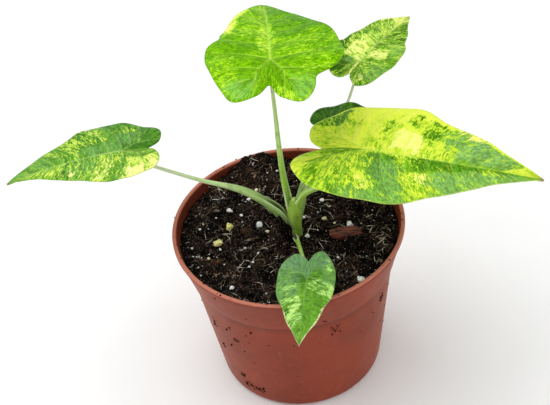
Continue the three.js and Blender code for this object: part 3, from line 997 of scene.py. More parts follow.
LITTER_FORMS = {
    Litter.CRUMB: LitterForm((0.6, 0.6, 0.5), (1.2, 1.0, 0.95), math.pi, 1100, 0.0009),
    Litter.LUMP: LitterForm((0.6, 0.6, 0.5), (1.2, 1.0, 0.95), math.pi, 700, 0.0016),
    Litter.FIBRE: LitterForm((0.7, 0.4, 0.6), (1.2, 1.3, 1.0), 0.5, 160, 0.0012),
    Litter.FLAKE: LitterForm((0.8, 0.35, 0.1), (1.4, 0.7, 0.22), 0.6, 1100, 0.0009),
}


@dataclass(frozen=True)
class Scatter:
    """A Geometry Nodes tree that strews one kind of litter over a surface."""

    kind: Litter
    per_square_metre: float
    smallest: float
    largest: float
    seed: int
    skew: float = 2.5

    SOCKETS = (
        ("Geometry", "INPUT", "Geometry"), ("Density", "INPUT", "Float"), ("Smallest", "INPUT", "Float"),
        ("Largest", "INPUT", "Float"), ("Seed", "INPUT", "Int"), ("Geometry", "OUTPUT", "Geometry"),
    )
    PROPORTION_SEED = 3
    SPIN_SEED = 11

    def tree(self, material: Material) -> Tree:
        """Build the tree, from the ground mesh to the strewn pieces.

        Args:
            material: The finish of the pieces.

        Returns:
            The node tree, with its inputs named as in SOCKETS.
        """
        tree = bpy.data.node_groups.new(f"strew_{self.kind.value}", "GeometryNodeTree")
        for name, way, kind in self.SOCKETS:
            tree.interface.new_socket(name=name, in_out=way, socket_type=f"NodeSocket{kind}")
        add = partial(add_node, tree)
        form = LITTER_FORMS[self.kind]
        vector_drawn, number_drawn = 0, 1
        given = add("NodeGroupInput", {})
        ground = {"Mesh": given["Geometry"], "Density": given["Density"], "Seed": given["Seed"]}
        spread = add("GeometryNodeDistributePointsOnFaces", ground)
        draw = add("FunctionNodeRandomValue", {"Seed": given["Seed"]})
        skewed = add("ShaderNodeMath", {0: draw[number_drawn], 1: self.skew}, operation="POWER")
        sizes = {"Value": skewed[0], "To Min": given["Smallest"], "To Max": given["Largest"]}
        size = add("ShaderNodeMapRange", sizes)
        proportions = {0: form.least, 1: form.greatest, "Seed": self.PROPORTION_SEED}
        shape = add("FunctionNodeRandomValue", proportions, data_type="FLOAT_VECTOR")
        scaled = add("ShaderNodeVectorMath", {0: shape[vector_drawn], "Scale": size[0]}, operation="SCALE")
        lean = form.lean
        headings = {0: (-lean, -lean, 0), 1: (lean, lean, 2 * math.pi), "Seed": self.SPIN_SEED}
        spin = add("FunctionNodeRandomValue", headings, data_type="FLOAT_VECTOR")
        laid = {"Points": spread["Points"], "Instance": self._seedling(tree)}
        laid.update({"Rotation": spin[vector_drawn], "Scale": scaled[0]})
        place = add("GeometryNodeInstanceOnPoints", laid)
        real = add("GeometryNodeRealizeInstances", {"Geometry": place["Instances"]})

        here = add("GeometryNodeInputPosition", {})[0]
        wobble = add("ShaderNodeTexNoise", {"Vector": here, "Scale": form.noise_scale, "Detail": 2})
        middle = add("ShaderNodeVectorMath", {0: wobble["Color"], 1: (0.5, 0.5, 0.5)}, operation="SUBTRACT")
        push = add("ShaderNodeVectorMath", {0: middle[0], "Scale": form.noise_depth}, operation="SCALE")
        shaped = add("GeometryNodeSetPosition", {"Geometry": real[0], "Offset": push[0]})
        dressed = add("GeometryNodeSetMaterial", {"Geometry": shaped[0], "Material": material})
        add("NodeGroupOutput", {"Geometry": dressed[0]})
        return tree

    def _seedling(self, tree: Tree) -> Socket:
        """Make the one shape that is strewn, about one unit long.

        Args:
            tree: Where its nodes are put.

        Returns:
            The shape.
        """
        if self.kind is Litter.FIBRE:
            bow = {"Resolution": 7, "Start": (-0.5, 0, 0), "Middle": (0, 0.2, 0.14), "End": (0.5, 0, 0)}
            path = add_node(tree, "GeometryNodeCurveQuadraticBezier", bow)[0]
            ring = {"Resolution": 4, "Radius": 0.015}
            section = add_node(tree, "GeometryNodeCurvePrimitiveCircle", ring)[0]
            sweep = {"Curve": path, "Profile Curve": section, "Fill Caps": True}
            return add_node(tree, "GeometryNodeCurveToMesh", sweep)[0]
        ball = {"Radius": 0.5, "Subdivisions": 2 if self.kind is Litter.LUMP else 1}
        return add_node(tree, "GeometryNodeMeshIcoSphere", ball)["Mesh"]

    def strew(self, ground: Piece, name: str, material: Material) -> Piece:
        """Strew the litter over a surface.

        Args:
            ground: The surface, which stays as it is.
            name: The new piece's name.
            material: Its finish.

        Returns:
            The strewn pieces as one plain mesh.
        """
        carrier = into_scene(f"{name}_carrier", ground.data)
        strewing = carrier.modifiers.new("strewing", "NODES")
        strewing.node_group = self.tree(material)
        wanted = {"Density": float(self.per_square_metre), "Seed": self.seed}
        wanted.update({"Smallest": self.smallest * MM, "Largest": self.largest * MM})
        for item in strewing.node_group.interface.items_tree:
            if item.in_out == "INPUT" and item.name in wanted:
                strewing[item.identifier] = wanted[item.name]
        return settle(carrier, name)


PERLITE_NODES = ("perlite_left", "perlite_middle", "perlite_crown", "perlite_right", "perlite_front")
FEED_NODES = ("feed_grain_front", "feed_grain_back")
BARK_NODE = "bark_chip"


@dataclass
class PottingSoil:
    """The potting soil: a lumpy filling of the pot, strewn with crumbs, fibres and grains.

    A heap or a lump is (x, y, height, reach). COARSE, CLODS and FINE are reliefs, as (size, octaves, seed)
    and the height of each.
    """

    pot: Pot
    level: float = 88
    edge_rise: float = 2
    heaps: Tuple[Four, ...] = ((-15, 58, 6.5, 15), (-3.2, -0.4, 5, 4.2), (-16, 55, 2, 6))
    lumps: int = 70
    lump_seed: int = 12
    clearance: float = 0.3
    spokes: int = 300
    rings: int = 130
    side_levels: Numbers = (82, 74, 72, 40, 6)

    COARSE, COARSE_HEIGHT = (5.5, 2, 3.0), 1.5
    CLODS, CLOD_HEIGHT = (3.2, 3, 8.0), 2.4
    FINE, FINE_HEIGHT = (1.3, 2, 15.0), 0.5
    PRESSED_IN = 0.5
    BARE_UNDER_GRAIN = 0.6
    STREWN_RINGS = 0.985

    def __post_init__(self) -> None:
        """Draw the lumps as the part's own source does."""
        draws = Draws(self.lump_seed)
        self.drawn: List[Four] = []
        for _ in range(self.lumps):
            reach = 2.4 + 3.2 * draws.next()
            distance = (self.pot.inner_radius(self.level) - reach) * math.sqrt(draws.next())
            turn = 2 * math.pi * draws.next()
            sign = -0.9 if draws.next() < 0.3 else 1.0
            height = sign * (0.5 + 1.1 * draws.next())
            self.drawn.append((distance * math.cos(turn), distance * math.sin(turn), height, reach))

    def height(self, x: Array, y: Array) -> Array:
        """Give the soil's height without its crumbs.

        Args:
            x: Places across.
            y: Places in depth.

        Returns:
            The height at each place.
        """
        rim = self.pot.rim_radius
        total = self.level + self.edge_rise * smooth(0.55 * rim, 0.93 * rim, np.hypot(x, y))
        for middle_x, middle_y, lift, reach in (*self.heaps, *self.drawn):
            total = total + lift * near(np.hypot(x - middle_x, y - middle_y), reach)
        return total

    def crumbled(self, x: Array, y: Array) -> Array:
        """Give the soil's height with its crumbs.

        Args:
            x: Places across.
            y: Places in depth.

        Returns:
            The height at each place.
        """
        pressed = self.near_grains(x, y)
        points = np.stack([x, y, 0 * x], -1)
        coarse = self.COARSE_HEIGHT * relief_noise(points, *self.COARSE)
        clods = self.CLOD_HEIGHT * (0.3 - np.abs(relief_noise(points, *self.CLODS)))
        relief = coarse + clods + self.FINE_HEIGHT * relief_noise(points, *self.FINE)
        return self.height(x, y) + relief * (1 - pressed) - self.PRESSED_IN * pressed

    def near_grains(self, x: Array, y: Array) -> Array:
        """Give 1 under the loose grains and 0 away from them.

        Args:
            x: Places across.
            y: Places in depth.

        Returns:
            The share at each place.
        """
        total = 0 * x
        for node in (*PERLITE_NODES, *FEED_NODES, BARK_NODE):
            low, high = solid_box(node)
            middle, reach = (low + high) / 2, (high - low) / 2
            away = np.hypot((x - middle[0]) / reach[0], (y - middle[1]) / reach[1])
            total = np.maximum(total, 1 - smooth(0.9, 1.6, away))
        return total

    def surface(self) -> Array:
        """Lay out the soil's top as rings of points, from the middle to the wall.

        Returns:
            The points, by ring and spoke.
        """
        turn = full_turn(self.spokes)
        share = np.linspace(0, 1, self.rings + 1)[:, None] ** 0.85
        top = around(share * (self.pot.inner_radius(self.level + 3) - self.clearance), turn, 0.0)
        top[..., 2] = self.crumbled(top[..., 0], top[..., 1])
        limit = np.array([self.pot.inner_radius(float(z)) for z in top[-1, :, 2]]) - self.clearance
        top[-1] = around(limit, turn, top[-1, :, 2])
        return top

    def build(self) -> None:
        """Make the soil and everything strewn over it."""
        top = self.surface()
        rings = [top[-1]]
        for z in (*self.side_levels, self.pot.floor_top + self.clearance):
            rings.append(around(self.pot.inner_radius(z) - self.clearance, full_turn(self.spokes), z))
        draft = MeshDraft()
        draft.add_grid(top)
        draft.add_grid(np.stack(rings))
        draft.add_fan(rings[-1])
        # The peat of the soil body is darker than the crumbs strewn over it: partly its own colour, partly
        # painted shade in the hollows between them.
        peat = SoilFinish().make("peat")
        hand_over(draft.build("soil_body", peat), "potting_soil", "soil")

        strip = MeshDraft()
        bare = top[: int(self.STREWN_RINGS * self.rings)]
        strip.add_grid(bare)
        pressed = self.near_grains(bare[..., 0], bare[..., 1]).ravel()
        strip.faces = [face for face in strip.faces if pressed[face[0]] < self.BARE_UNDER_GRAIN]
        ground = strip.build("ground", peat)
        crumbs = SoilFinish("050302", "4c372f", "a88a74", 0.5).make("crumbs")
        clods = SoilFinish("060403", "2c1c16", "6c4e3e", 0.45).make("clods")
        fibres = FibreFinish("2a1c15", "7c6856", "ece2d0", 0.5).make("coir")
        flakes = FibreFinish("120b08", "46301f", "8a6c50", 0.25).make("leaf_litter")
        white = GrainFinish("ffffff", "f4efe6", "b0a698").make("perlite_dust")
        strewn = (
            (Scatter(Litter.CRUMB, 480000, 0.35, 2.2, 1), crumbs, "soil_crumbs", "potting_soil"),
            (Scatter(Litter.LUMP, 42000, 1.2, 4.4, 2), clods, "soil_clods", "potting_soil"),
            (Scatter(Litter.FIBRE, 105000, 2, 12, 3, 2.1), fibres, "soil_fibres", "potting_soil"),
            (Scatter(Litter.FLAKE, 30000, 1.0, 5.0, 4), flakes, "soil_flakes", "potting_soil"),
            (Scatter(Litter.CRUMB, 16000, 0.35, 1.3, 5), white, "perlite_dust", "perlite"),
        )
        for scatter, finish, name, slot in strewn:
            hand_over(scatter.strew(ground, name, finish), slot)
        bpy.data.objects.remove(ground)


def chunk(low: Array, high: Array, knobs: float, seed: int, facets: int, rows: int = 30) -> Array:
    """Break a knobbly lump that fills a box.

    Args:
        low: The box's lowest corner, in millimetres.
        high: Its highest corner.
        knobs: How rough the lump is.
        seed: Picks the facets and the roughness.
        facets: How many flat breaks it has.
        rows: How finely it is divided.

    Returns:
        A closed grid of points.
    """
    tilt = np.linspace(0, math.pi, rows)[:, None]
    ball = around(np.sin(tilt), full_turn(3 * rows // 2), np.cos(tilt))
    ball[0], ball[-1] = (0, 0, 1), (0, 0, -1)
    draws = Draws(seed)
    radius = np.full(ball.shape[:-1], 1.1)
    for _ in range(facets):
        level, heading = draws.between(-1, 1), draws.between(0, 2 * math.pi)
        flat = math.sqrt(1 - level**2)
        facing = ball @ np.array([flat * math.cos(heading), flat * math.sin(heading), level])
        radius = np.minimum(radius, draws.between(0.32, 0.72) / np.maximum(facing, 0.05))
    rough = relief_noise(ball, 0.8, 3, float(seed))
    pits = np.abs(relief_noise(ball, 0.4, 2, seed + 5.0))
    shaped = ball * (radius * (1 + knobs * rough - knobs * pits))[..., None]
    lowest, highest = shaped.min((0, 1)), shaped.max((0, 1))
    return low + (shaped - lowest) / (highest - lowest) * (high - low)


@dataclass(frozen=True)
class LooseGrain:
    """A broken grain half sunk in the soil."""

    node: str
    slot: str
    knobs: float
    seed: int

    def build(self, finish: Material) -> None:
        """Shape the grain inside the box of its solid, in the given material.

        Args:
            finish: The grain's material.
        """
        draft = MeshDraft()
        draft.add_grid(chunk(*solid_box(self.node), self.knobs, self.seed, 8))
        hand_over(draft.build(f"{self.node}_grain", finish), self.slot, self.node)


@dataclass(frozen=True)
class SoilClod:
    """A rough lump of soil that lies on the rest or leans on the foot of the stalks."""

    name: str
    low: Point
    high: Point
    finish: SoilFinish
    seed: int

    def build(self) -> None:
        """Break the clod out and dress it."""
        draft = MeshDraft()
        draft.add_grid(chunk(np.array(self.low), np.array(self.high), 0.5, self.seed, 9))
        hand_over(draft.build(self.name, self.finish.make(self.name)), "potting_soil")


BROWN_PEAT = SoilFinish("1c110c", "46301f", "6e4c36", 0.9)
BLACK_PEAT = SoilFinish("060404", "16100e", "4a3c36", 0.4)
FOOT_PEAT = SoilFinish("0c0705", "3a281f", "8a6c58")
SOIL_CLODS = (
    SoilClod("foot_clump", (-5.8, -7.4, 86), (2.4, -1.6, 105.6), FOOT_PEAT, 77),
    SoilClod("brown_clod", (-25.9, 0.3, 84), (-17.1, 9.5, 91.6), BROWN_PEAT, 81),
    SoilClod("flat_clod", (-42.3, -19.8, 85), (-35.1, -13.8, 91), BROWN_PEAT, 82),
    SoilClod("black_clod", (22.5, -25.0, 83), (39.3, -13.0, 96.5), BLACK_PEAT, 83),
)
WHITE_CHIPS = (
    (19.6, 20.2, 2.6), (8.3, 8.7, 2.6), (-19.0, 26.3, 2.4), (-23.7, 14.7, 1.9), (-46.0, 7.8, 1.5),
    (-31.6, -37.6, 2.6), (-37.3, 16.4, 1.3), (-42.5, 24.7, 1.3), (-22.3, -22.8, 1.6), (-20.0, -19.7, 1.5),
    (-17.0, -13.3, 1.4), (-23.4, -9.2, 1.5), (-35.9, -9.3, 1.4), (-50.3, -6.5, 1.4), (-50.0, -12.5, 1.1),
    (-48.5, -12.0, 1.1), (-47.1, -11.8, 1.1), (-45.7, -12.4, 1.2), (-1.9, 47.2, 1.8), (15.0, -2.0, 1.3),
    (22.7, -23.8, 1.4), (-7.7, 45.4, 1.3),
)
CREAM_CHIPS = (
    (19.1, 4.4, 2.7), (-11.0, 1.0, 2.4), (-14.4, 33.9, 2.2), (-42.2, -15.2, 1.7), (23.9, 1.0, 1.5),
    (-44.0, 11.1, 1.1), (23.4, 15.5, 1.2), (-35.1, -1.0, 1.2),
)


def lay_chips(soil: PottingSoil, chips: Sequence[Point], name: str, finish: Material) -> None:
    """Lay small broken grains on the soil as one piece.

    Args:
        soil: The soil they lie on.
        chips: The place and the length of each, in millimetres.
        name: The piece's name.
        finish: Its material.
    """
    draft = MeshDraft()
    draws = Draws(len(chips))
    for k, (x, y, size) in enumerate(chips):
        reach = size / 2 * np.array([1, draws.between(0.6, 1), draws.between(0.6, 0.9)])
        level = float(soil.crumbled(np.array([x]), np.array([y]))[0])
        middle = np.array([x, y, level + 0.5 * size])
        draft.add_grid(chunk(middle - reach, middle + reach, 0.2, 100 + k, 6, 14))
    hand_over(draft.build(name, finish), "perlite")


@dataclass(frozen=True)
class StuckSoil:
    """Bits of soil stuck to the outside and to the lip of the pot.

    A smear is (degrees round from +X, height, half its width, half its height).
    """

    pot: Pot
    smears: Tuple[Four, ...] = (
        (-77.5, 76, 1, 1), (-71, 64, 3, 3.4), (-66, 66, 1, 1), (-63.6, 53.2, 1, 1), (-42.8, 57.8, 0.8, 0.8),
        (-33.7, 13, 1, 1), (-136, 59.5, 1.6, 2.4), (-132, 52.6, 2, 1.6), (-148, 37, 1, 2.6),
        (-138, 44.4, 1, 1), (-129, 11, 7, 2.6), (-150, 56, 1.2, 4), (-34, 62, 1.6, 3),
        (-96, 29.3, 0.6, 0.6), (-118, 66, 1, 0.8), (-137, 18, 2, 1.6),
    )

    def _wall(self, turns: Array, heights: Array) -> Array:
        """Lay out points on the pot's outer face."""
        radius = np.array([self.pot.outer_radius(float(z)) for z in heights])
        return around(radius[:, None], turns, heights[:, None])

    def build(self) -> None:
        """Strew the smears, the stray bits and the bits on the lip."""
        pot = self.pot
        finish = SoilFinish("180d09", "38221a", "5c4436").make("stuck_soil")
        smears, wall, lip = MeshDraft(), MeshDraft(), MeshDraft()
        for turn, height, wide, tall in self.smears:
            half = wide / pot.outer_radius(height)
            turns = math.radians(turn) + np.linspace(-half, half, 4)
            smears.add_grid(self._wall(turns, height + np.linspace(-tall, tall, 3)))
        wall.add_grid(self._wall(full_turn(64), np.linspace(6, pot.lip_foot, 12)))
        lip_radii = np.array([pot.rim_radius - pot.lip_width, pot.rim_radius])[:, None]
        lip.add_grid(around(lip_radii, full_turn(64), pot.height))
        strewn = (
            (smears, Scatter(Litter.CRUMB, 620000, 0.35, 1.7, 21, 1.6), "pot_smears"),
            (wall, Scatter(Litter.CRUMB, 3800, 0.3, 1.1, 22, 2.0), "pot_specks"),
            (lip, Scatter(Litter.CRUMB, 120000, 0.3, 1.3, 23, 2.0), "lip_specks"),
        )
        for draft, scatter, name in strewn:
            ground = draft.build(f"{name}_ground", finish)
            hand_over(scatter.strew(ground, name, finish), "potting_soil")
            bpy.data.objects.remove(ground)


@dataclass(frozen=True)
class BarkChip:
    """A flat chip of bark with splintered ends, lying on the soil."""

    node: str = BARK_NODE
    turn: float = math.radians(-10)
    length: float = 16
    width: float = 7
    thickness: float = 4.2
    squareness: float = 0.34

    def build(self) -> None:
        """Loft the chip from one broken end to the other."""
        along = np.linspace(-1, 1, 30)[:, None]
        angle = full_turn(40)
        across, up = (np.sign(v) * np.abs(v) ** self.squareness for v in (np.cos(angle), np.sin(angle)))
        taper = 1 - 0.42 * np.abs(along) ** 3 + 0.12 * np.sin(3 * along + 1) + 0.08 * np.sin(11 * along)
        skew = 0.14 * np.sin(2.2 * along)
        x = along * self.length / 2 + 0 * across
        y = (across * taper + skew) * self.width / 2
        z = up * (0.9 - 0.25 * along**2) * self.thickness / 2
        splinters = relief_noise(np.stack([0.25 * x, y, z], -1), 1.3, 3, 21.0)
        x = x + 2.4 * splinters * np.abs(along) ** 2
        y, z = y * (1 + 0.2 * splinters), z * (1 + 0.2 * splinters)
        cos, sin = math.cos(self.turn), math.sin(self.turn)
        low, high = solid_box(self.node)
        rings = np.stack([x * cos - y * sin, x * sin + y * cos, z], -1) + (low + high) / 2
        draft = MeshDraft()
        draft.add_grid(rings)
        draft.add_fan(rings[0], flip=True)
        draft.add_fan(rings[-1])
        hand_over(draft.build("bark_splinter", BarkFinish().make("bark")), "bark", self.node)


# Curves that the stalks follow


def along_stations(stations: Sequence[float], values: Sequence[float], places: Array) -> Array:
    """Follow a smooth curve through stations, a little steeper at the first and level at the last.

    Args:
        stations: Increasing places at which the value is known.
        values: The value at each station.
        places: Where the curve is read.

    Returns:
        The curve's value at each place.
    """
    x = np.asarray(stations, float)
    v = np.asarray(values, float)
    secant = np.diff(v) / np.diff(x)
    slope = np.zeros(len(x))
    before, after = np.diff(x)[:-1], np.diff(x)[1:]
    slope[1:-1] = (after * secant[:-1] + before * secant[1:]) / (before + after)
    slope[0] = 1.25 * secant[0]
    i = np.clip(np.searchsorted(x, places, side="right") - 1, 0, len(x) - 2)
    step = x[i + 1] - x[i]
    t = (places - x[i]) / step
    rising = t * t * (3 - 2 * t)
    leaving = t * (1 - t) ** 2 * step * slope[i]
    arriving = t * t * (t - 1) * step * slope[i + 1]
    return (1 - rising) * v[i] + rising * v[i + 1] + leaving + arriving


def smooth_route(route: Sequence[Point], steps: int) -> Array:
    """Run a smooth curve through points, with corners spread by the distance between them.

    Args:
        route: The points, in millimetres.
        steps: How many equal lengths the curve is cut into.

    Returns:
        One more point than steps, evenly spaced along the curve.
    """
    known = [np.array(p, float) for p in route]
    known = [2 * known[0] - known[1], *known, 2 * known[-1] - known[-2]]
    dense: List[Array] = []
    for a, b, c, d in zip(known, known[1:], known[2:], known[3:]):
        ab, bc, cd = (math.sqrt(np.linalg.norm(q - p)) for p, q in ((a, b), (b, c), (c, d)))
        leave = ((b - a) / ab - (c - a) / (ab + bc) + (c - b) / bc) * bc
        arrive = ((c - b) / bc - (d - b) / (bc + cd) + (d - c) / cd) * bc
        cube = 2 * b - 2 * c + leave + arrive
        square = -3 * b + 3 * c - 2 * leave - arrive
        times = np.linspace(0, 1, 24, endpoint=False)
        dense.extend(b + leave * t + square * t * t + cube * t**3 for t in times)
    line = np.array([*dense, known[-2]])
    travelled = np.append(0, np.cumsum(np.linalg.norm(np.diff(line, axis=0), axis=1)))
    even = np.linspace(0, travelled[-1], steps + 1)
    return np.stack([np.interp(even, travelled, line[:, k]) for k in range(3)], -1)


@dataclass(frozen=True)
class Tube:
    """A round tapering body along a route, which can open into a boat-shaped sheath near its start.

    The sheath's shares are of the length: it is fully open up to the first and closed past the second.
    `opens` is the direction that its channel faces, `flare` is how much wider than the stalk it gets,
    `gap` is half the angle between its edges in degrees, and `wall` and `edge` are its thickness.
    """

    route: Tuple[Point, ...]
    radii: Numbers
    opens: Point = (0, 0, 1)
    sheath: Pair = (0.0, 0.0)
    flare: float = 0.0
    gap: float = 50.0
    wall: float = 1.6
    edge: float = 0.35
    domes: Pair = (0.0, 0.0)
    steps: int = 100
    outer_sides: int = 34
    inner_sides: int = 18

    MARGIN_WIDTH = 0.65

    def add_to(self, draft: MeshDraft) -> None:
        """Add the tube, closed at both ends, to a mesh.

        Args:
            draft: The mesh.
        """
        line = smooth_route(self.route, self.steps)
        tangent = np.gradient(line, axis=0)
        tangent /= np.linalg.norm(tangent, axis=1)[:, None]
        wanted = np.array(self.opens, float)
        facing = wanted - tangent * (tangent @ wanted)[:, None]
        facing /= np.linalg.norm(facing, axis=1)[:, None]
        across = np.cross(tangent, facing)
        share = np.linspace(0, 1, self.steps + 1)[:, None]
        radius = along_stations(np.linspace(0, 1, len(self.radii)), self.radii, share) * self._domed(share)
        opened = 1 - smooth(*self.sheath, share) if self.sheath[1] else 0 * share
        towards, sideways, from_edge, inner = self._section(radius, share, opened)
        ring = line[:, None] + towards[..., None] * facing[:, None] + sideways[..., None] * across[:, None]
        ring[:, -1] = ring[:, 0]
        length = np.linalg.norm(np.diff(line, axis=0), axis=1).sum()
        turn = np.linspace(0, 1, ring.shape[1])
        rim = np.minimum(1, 2.5 * opened) * near(from_edge, self.MARGIN_WIDTH)
        sheath = layered(rim, opened * inner, line[:, 2:])
        values = {"growth": layered(share, turn, share * length), "sheath": sheath}
        draft.add_grid(ring, values)
        draft.add_fan(ring[0], {n: v[0] for n, v in values.items()}, True)
        draft.add_fan(ring[-1], {n: v[-1] for n, v in values.items()})

    def _domed(self, share: Array) -> Array:
        """Shrink the radius towards the ends that are rounded off.

        Args:
            share: Places from 0 at the foot to 1 at the top.

        Returns:
            What the radius is multiplied by.
        """
        scale = np.ones_like(share)
        for dome, from_end in zip(self.domes, (share, 1 - share)):
            if dome:
                scale *= np.sqrt(1 - np.clip(1 - from_end / dome, 0, 1) ** 2)
        return np.maximum(scale, 0.05)

    def _section(self, radius: Array, share: Array, opened: Array) -> Tuple[Array, Array, Array, Array]:
        """Shape the section from a round stalk to an open sheath.

        Args:
            radius: The stalk's radius at each station.
            share: Each station's share of the length.
            opened: How open the sheath is there, from 0 to 1.

        Returns:
            Distances towards the opening and sideways, the distance from the sheath's nearer edge, and
            1 on the inside of the channel, for each station and each point round the section.
        """
        gap = math.radians(self.gap)
        outer = np.linspace(gap, 2 * math.pi - gap, self.outer_sides + 1)
        inner_round = np.linspace(-gap, gap, self.inner_sides + 1)[1:]
        inner_open = np.linspace(2 * math.pi - gap, gap, self.inner_sides + 1)[1:]
        round_angle = np.append(outer, inner_round + 2 * math.pi)
        open_angle = np.append(outer, inner_open)
        on_inside = np.append(0 * outer, 1 + 0 * inner_open)
        swell = np.sin(math.pi * np.clip(share / max(self.sheath[1], 1e-6), 0, 1))
        wide = radius * (1 + self.flare * swell)
        back_share = ((1 + np.cos(open_angle - math.pi)) / 2) ** 1.2
        thick = self.edge + (np.minimum(self.wall, 1.4 * radius) - self.edge) * back_share
        reach = wide - thick * on_inside
        towards_open = reach * np.cos(open_angle) + (wide - radius)
        towards = (1 - opened) * radius * np.cos(round_angle) + opened * towards_open
        sideways = (1 - opened) * radius * np.sin(round_angle) + opened * reach * np.sin(open_angle)
        from_edge = wide * (math.pi - gap - np.abs(open_angle - math.pi))
        on_inside[-1] = 0
        return towards, sideways, from_edge, on_inside


# Blades


class PatchKind(Enum):
    """What a patch of a variegated blade is made of, in the order of a leaf's shares; the third kind is
    painted sheen.
    """

    LIME = 0
    CREAM = 1
    PAINTED_SHEEN = 2
    DARK = 3


LIME, CREAM, PAINTED_SHEEN, DARK = PatchKind
LEFT, RIGHT = 0, 1
STALK_RUN, LOBE_RUN = 0.6, 0.85
USUAL_BLUR = 2.5
Spots = Tuple[Numbers, ...]
OUTLINE_ANGLES = (0.0, 7.0, 17.0, 32.0, 55.0, 85.0, 115.0, 140.0, 157.0, 169.0, 180.0)


def cover(spots: Spots, run: Array, reach: Array, below: Array) -> Array:
    """Lay patches of one tissue over half a blade, the later over the earlier.

    Args:
        spots: Patches, each (first run, last run, first reach, last reach, share) in hundredths, with a
            sixth number where its edge is softer or sharper than the rest.
        run: Where each point lies round the half: 0 at the tip, 0.6 at the stalk, 0.85 at the lobe's
            end and 1 at the notch.
        reach: Where it lies from the rib, at 0, to the margin, at 1.
        below: The tissue's share before.

    Returns:
        The tissue's share after.
    """
    for spot in spots:
        from_run, to_run, from_reach, to_reach, share, blur = (v / 100 for v in (*spot, USUAL_BLUR)[:6])
        inside = window(from_run, to_run, blur, run) * window(from_reach, to_reach, 2 * blur, reach)
        below = below * (1 - inside) + share * inside
    return below


@dataclass(frozen=True)
class BladeForm:
    """Where a blade sits, how it faces, its outline and its curves, in millimetres and degrees.

    Pairs are for the left and the right half, as seen by someone looking from the stalk to the tip.
    A bulge is (angle from the tip, spread, share of the radius). A wave is (height, count, phase).
    """

    at: Point
    heading: float
    pitch: float
    roll: float
    twist: float
    length: float
    notch: float
    half_width: Pair
    lobe: Pair
    fullness: Pair
    droop: float
    back_droop: float
    rise: Pair
    arch: Pair
    wave: Point
    bulges: Tuple[Tuple[Point, ...], Tuple[Point, ...]]

    def directions(self) -> Tuple[Array, Array, Array]:
        """Give the unit directions towards the tip, to the left and out of the upper face.

        Returns:
            The three directions.
        """
        heading, pitch, roll = (math.radians(a) for a in (self.heading, self.pitch, self.roll))
        cos, sin = math.cos(heading), math.sin(heading)
        forward = np.array([cos * math.cos(pitch), sin * math.cos(pitch), math.sin(pitch)])
        level = np.array([-sin, cos, 0.0])
        upright = np.cross(forward, level)
        left = level * math.cos(roll) + upright * math.sin(roll)
        return forward, left, upright * math.cos(roll) - level * math.sin(roll)

    def margin_radius(self, side: int, angle: Array) -> Array:
        """Measure from the stalk to the margin.

        Args:
            side: LEFT or RIGHT.
            angle: Degrees round from the tip.

        Returns:
            The distance at each angle.
        """
        length, half, lobe = self.length, self.half_width[side], self.lobe[side]
        full, notch = self.fullness[side], self.notch
        radii = (
            length, (0.8 + 0.04 * full) * length, (0.655 + 0.07 * full) * length,
            (0.26 * length + 0.6 * half) * (1 + 0.08 * full),
            (0.19 * length + 0.66 * half) * (1 + 0.03 * full),
            half, 0.74 * half + 0.25 * lobe, 0.35 * half + 0.65 * lobe,
            lobe, 0.62 * lobe + 0.38 * notch, notch,
        )
        swell = 1.0
        for middle, spread, share in self.bulges[side]:
            swell = swell + share * near(angle - middle, spread)
        return along_stations(OUTLINE_ANGLES, radii, angle) * swell

    def place(self, x: Array, y: Array) -> Array:
        """Bend flat points of the blade into their place on the plant.

        Args:
            x: Distance from the stalk towards the tip.
            y: Distance to the left of the midrib.

        Returns:
            Points in millimetres, with the three coordinates on the last axis.
        """
        direction = np.arctan2(y, x)
        angle = np.abs(np.degrees(direction))
        on_left = y >= 0
        margin = np.where(on_left, self.margin_radius(LEFT, angle), self.margin_radius(RIGHT, angle))
        share = np.hypot(x, y) / margin
        front = x >= 0
        sign = np.where(front, 1.0, -1.0)
        turn = np.radians(np.where(front, -self.droop, -self.back_droop))
        curvature = np.where(np.abs(turn) < 1e-4, 1e-4, turn) / np.where(front, self.length, self.lobe[0])
        spine = curvature * np.abs(x)
        rise = np.radians(np.where(on_left, *self.rise))
        bend = np.radians(np.where(on_left, *self.arch)) / self.half_width[0]
        edge_slope = rise - bend * np.abs(y)
        across = (np.sin(rise) - np.sin(edge_slope)) / bend * np.where(on_left, 1.0, -1.0)
        lift = (np.cos(edge_slope) - np.cos(rise)) / bend
        twist = math.radians(self.twist) * x / self.length
        height, count, phase = self.wave
        ripple = height * np.sin(count * direction + phase) * share**3
        sideways = across * np.cos(twist) - lift * np.sin(twist)
        lifted = across * np.sin(twist) + lift * np.cos(twist) + ripple
        forward = sign * np.sin(spine) / curvature - np.sin(sign * spine) * lifted
        upward = (1 - np.cos(spine)) / curvature + np.cos(spine) * lifted
        moved = np.stack([forward, sideways, upward], -1) @ np.stack(self.directions())
        return np.array(self.at) + moved


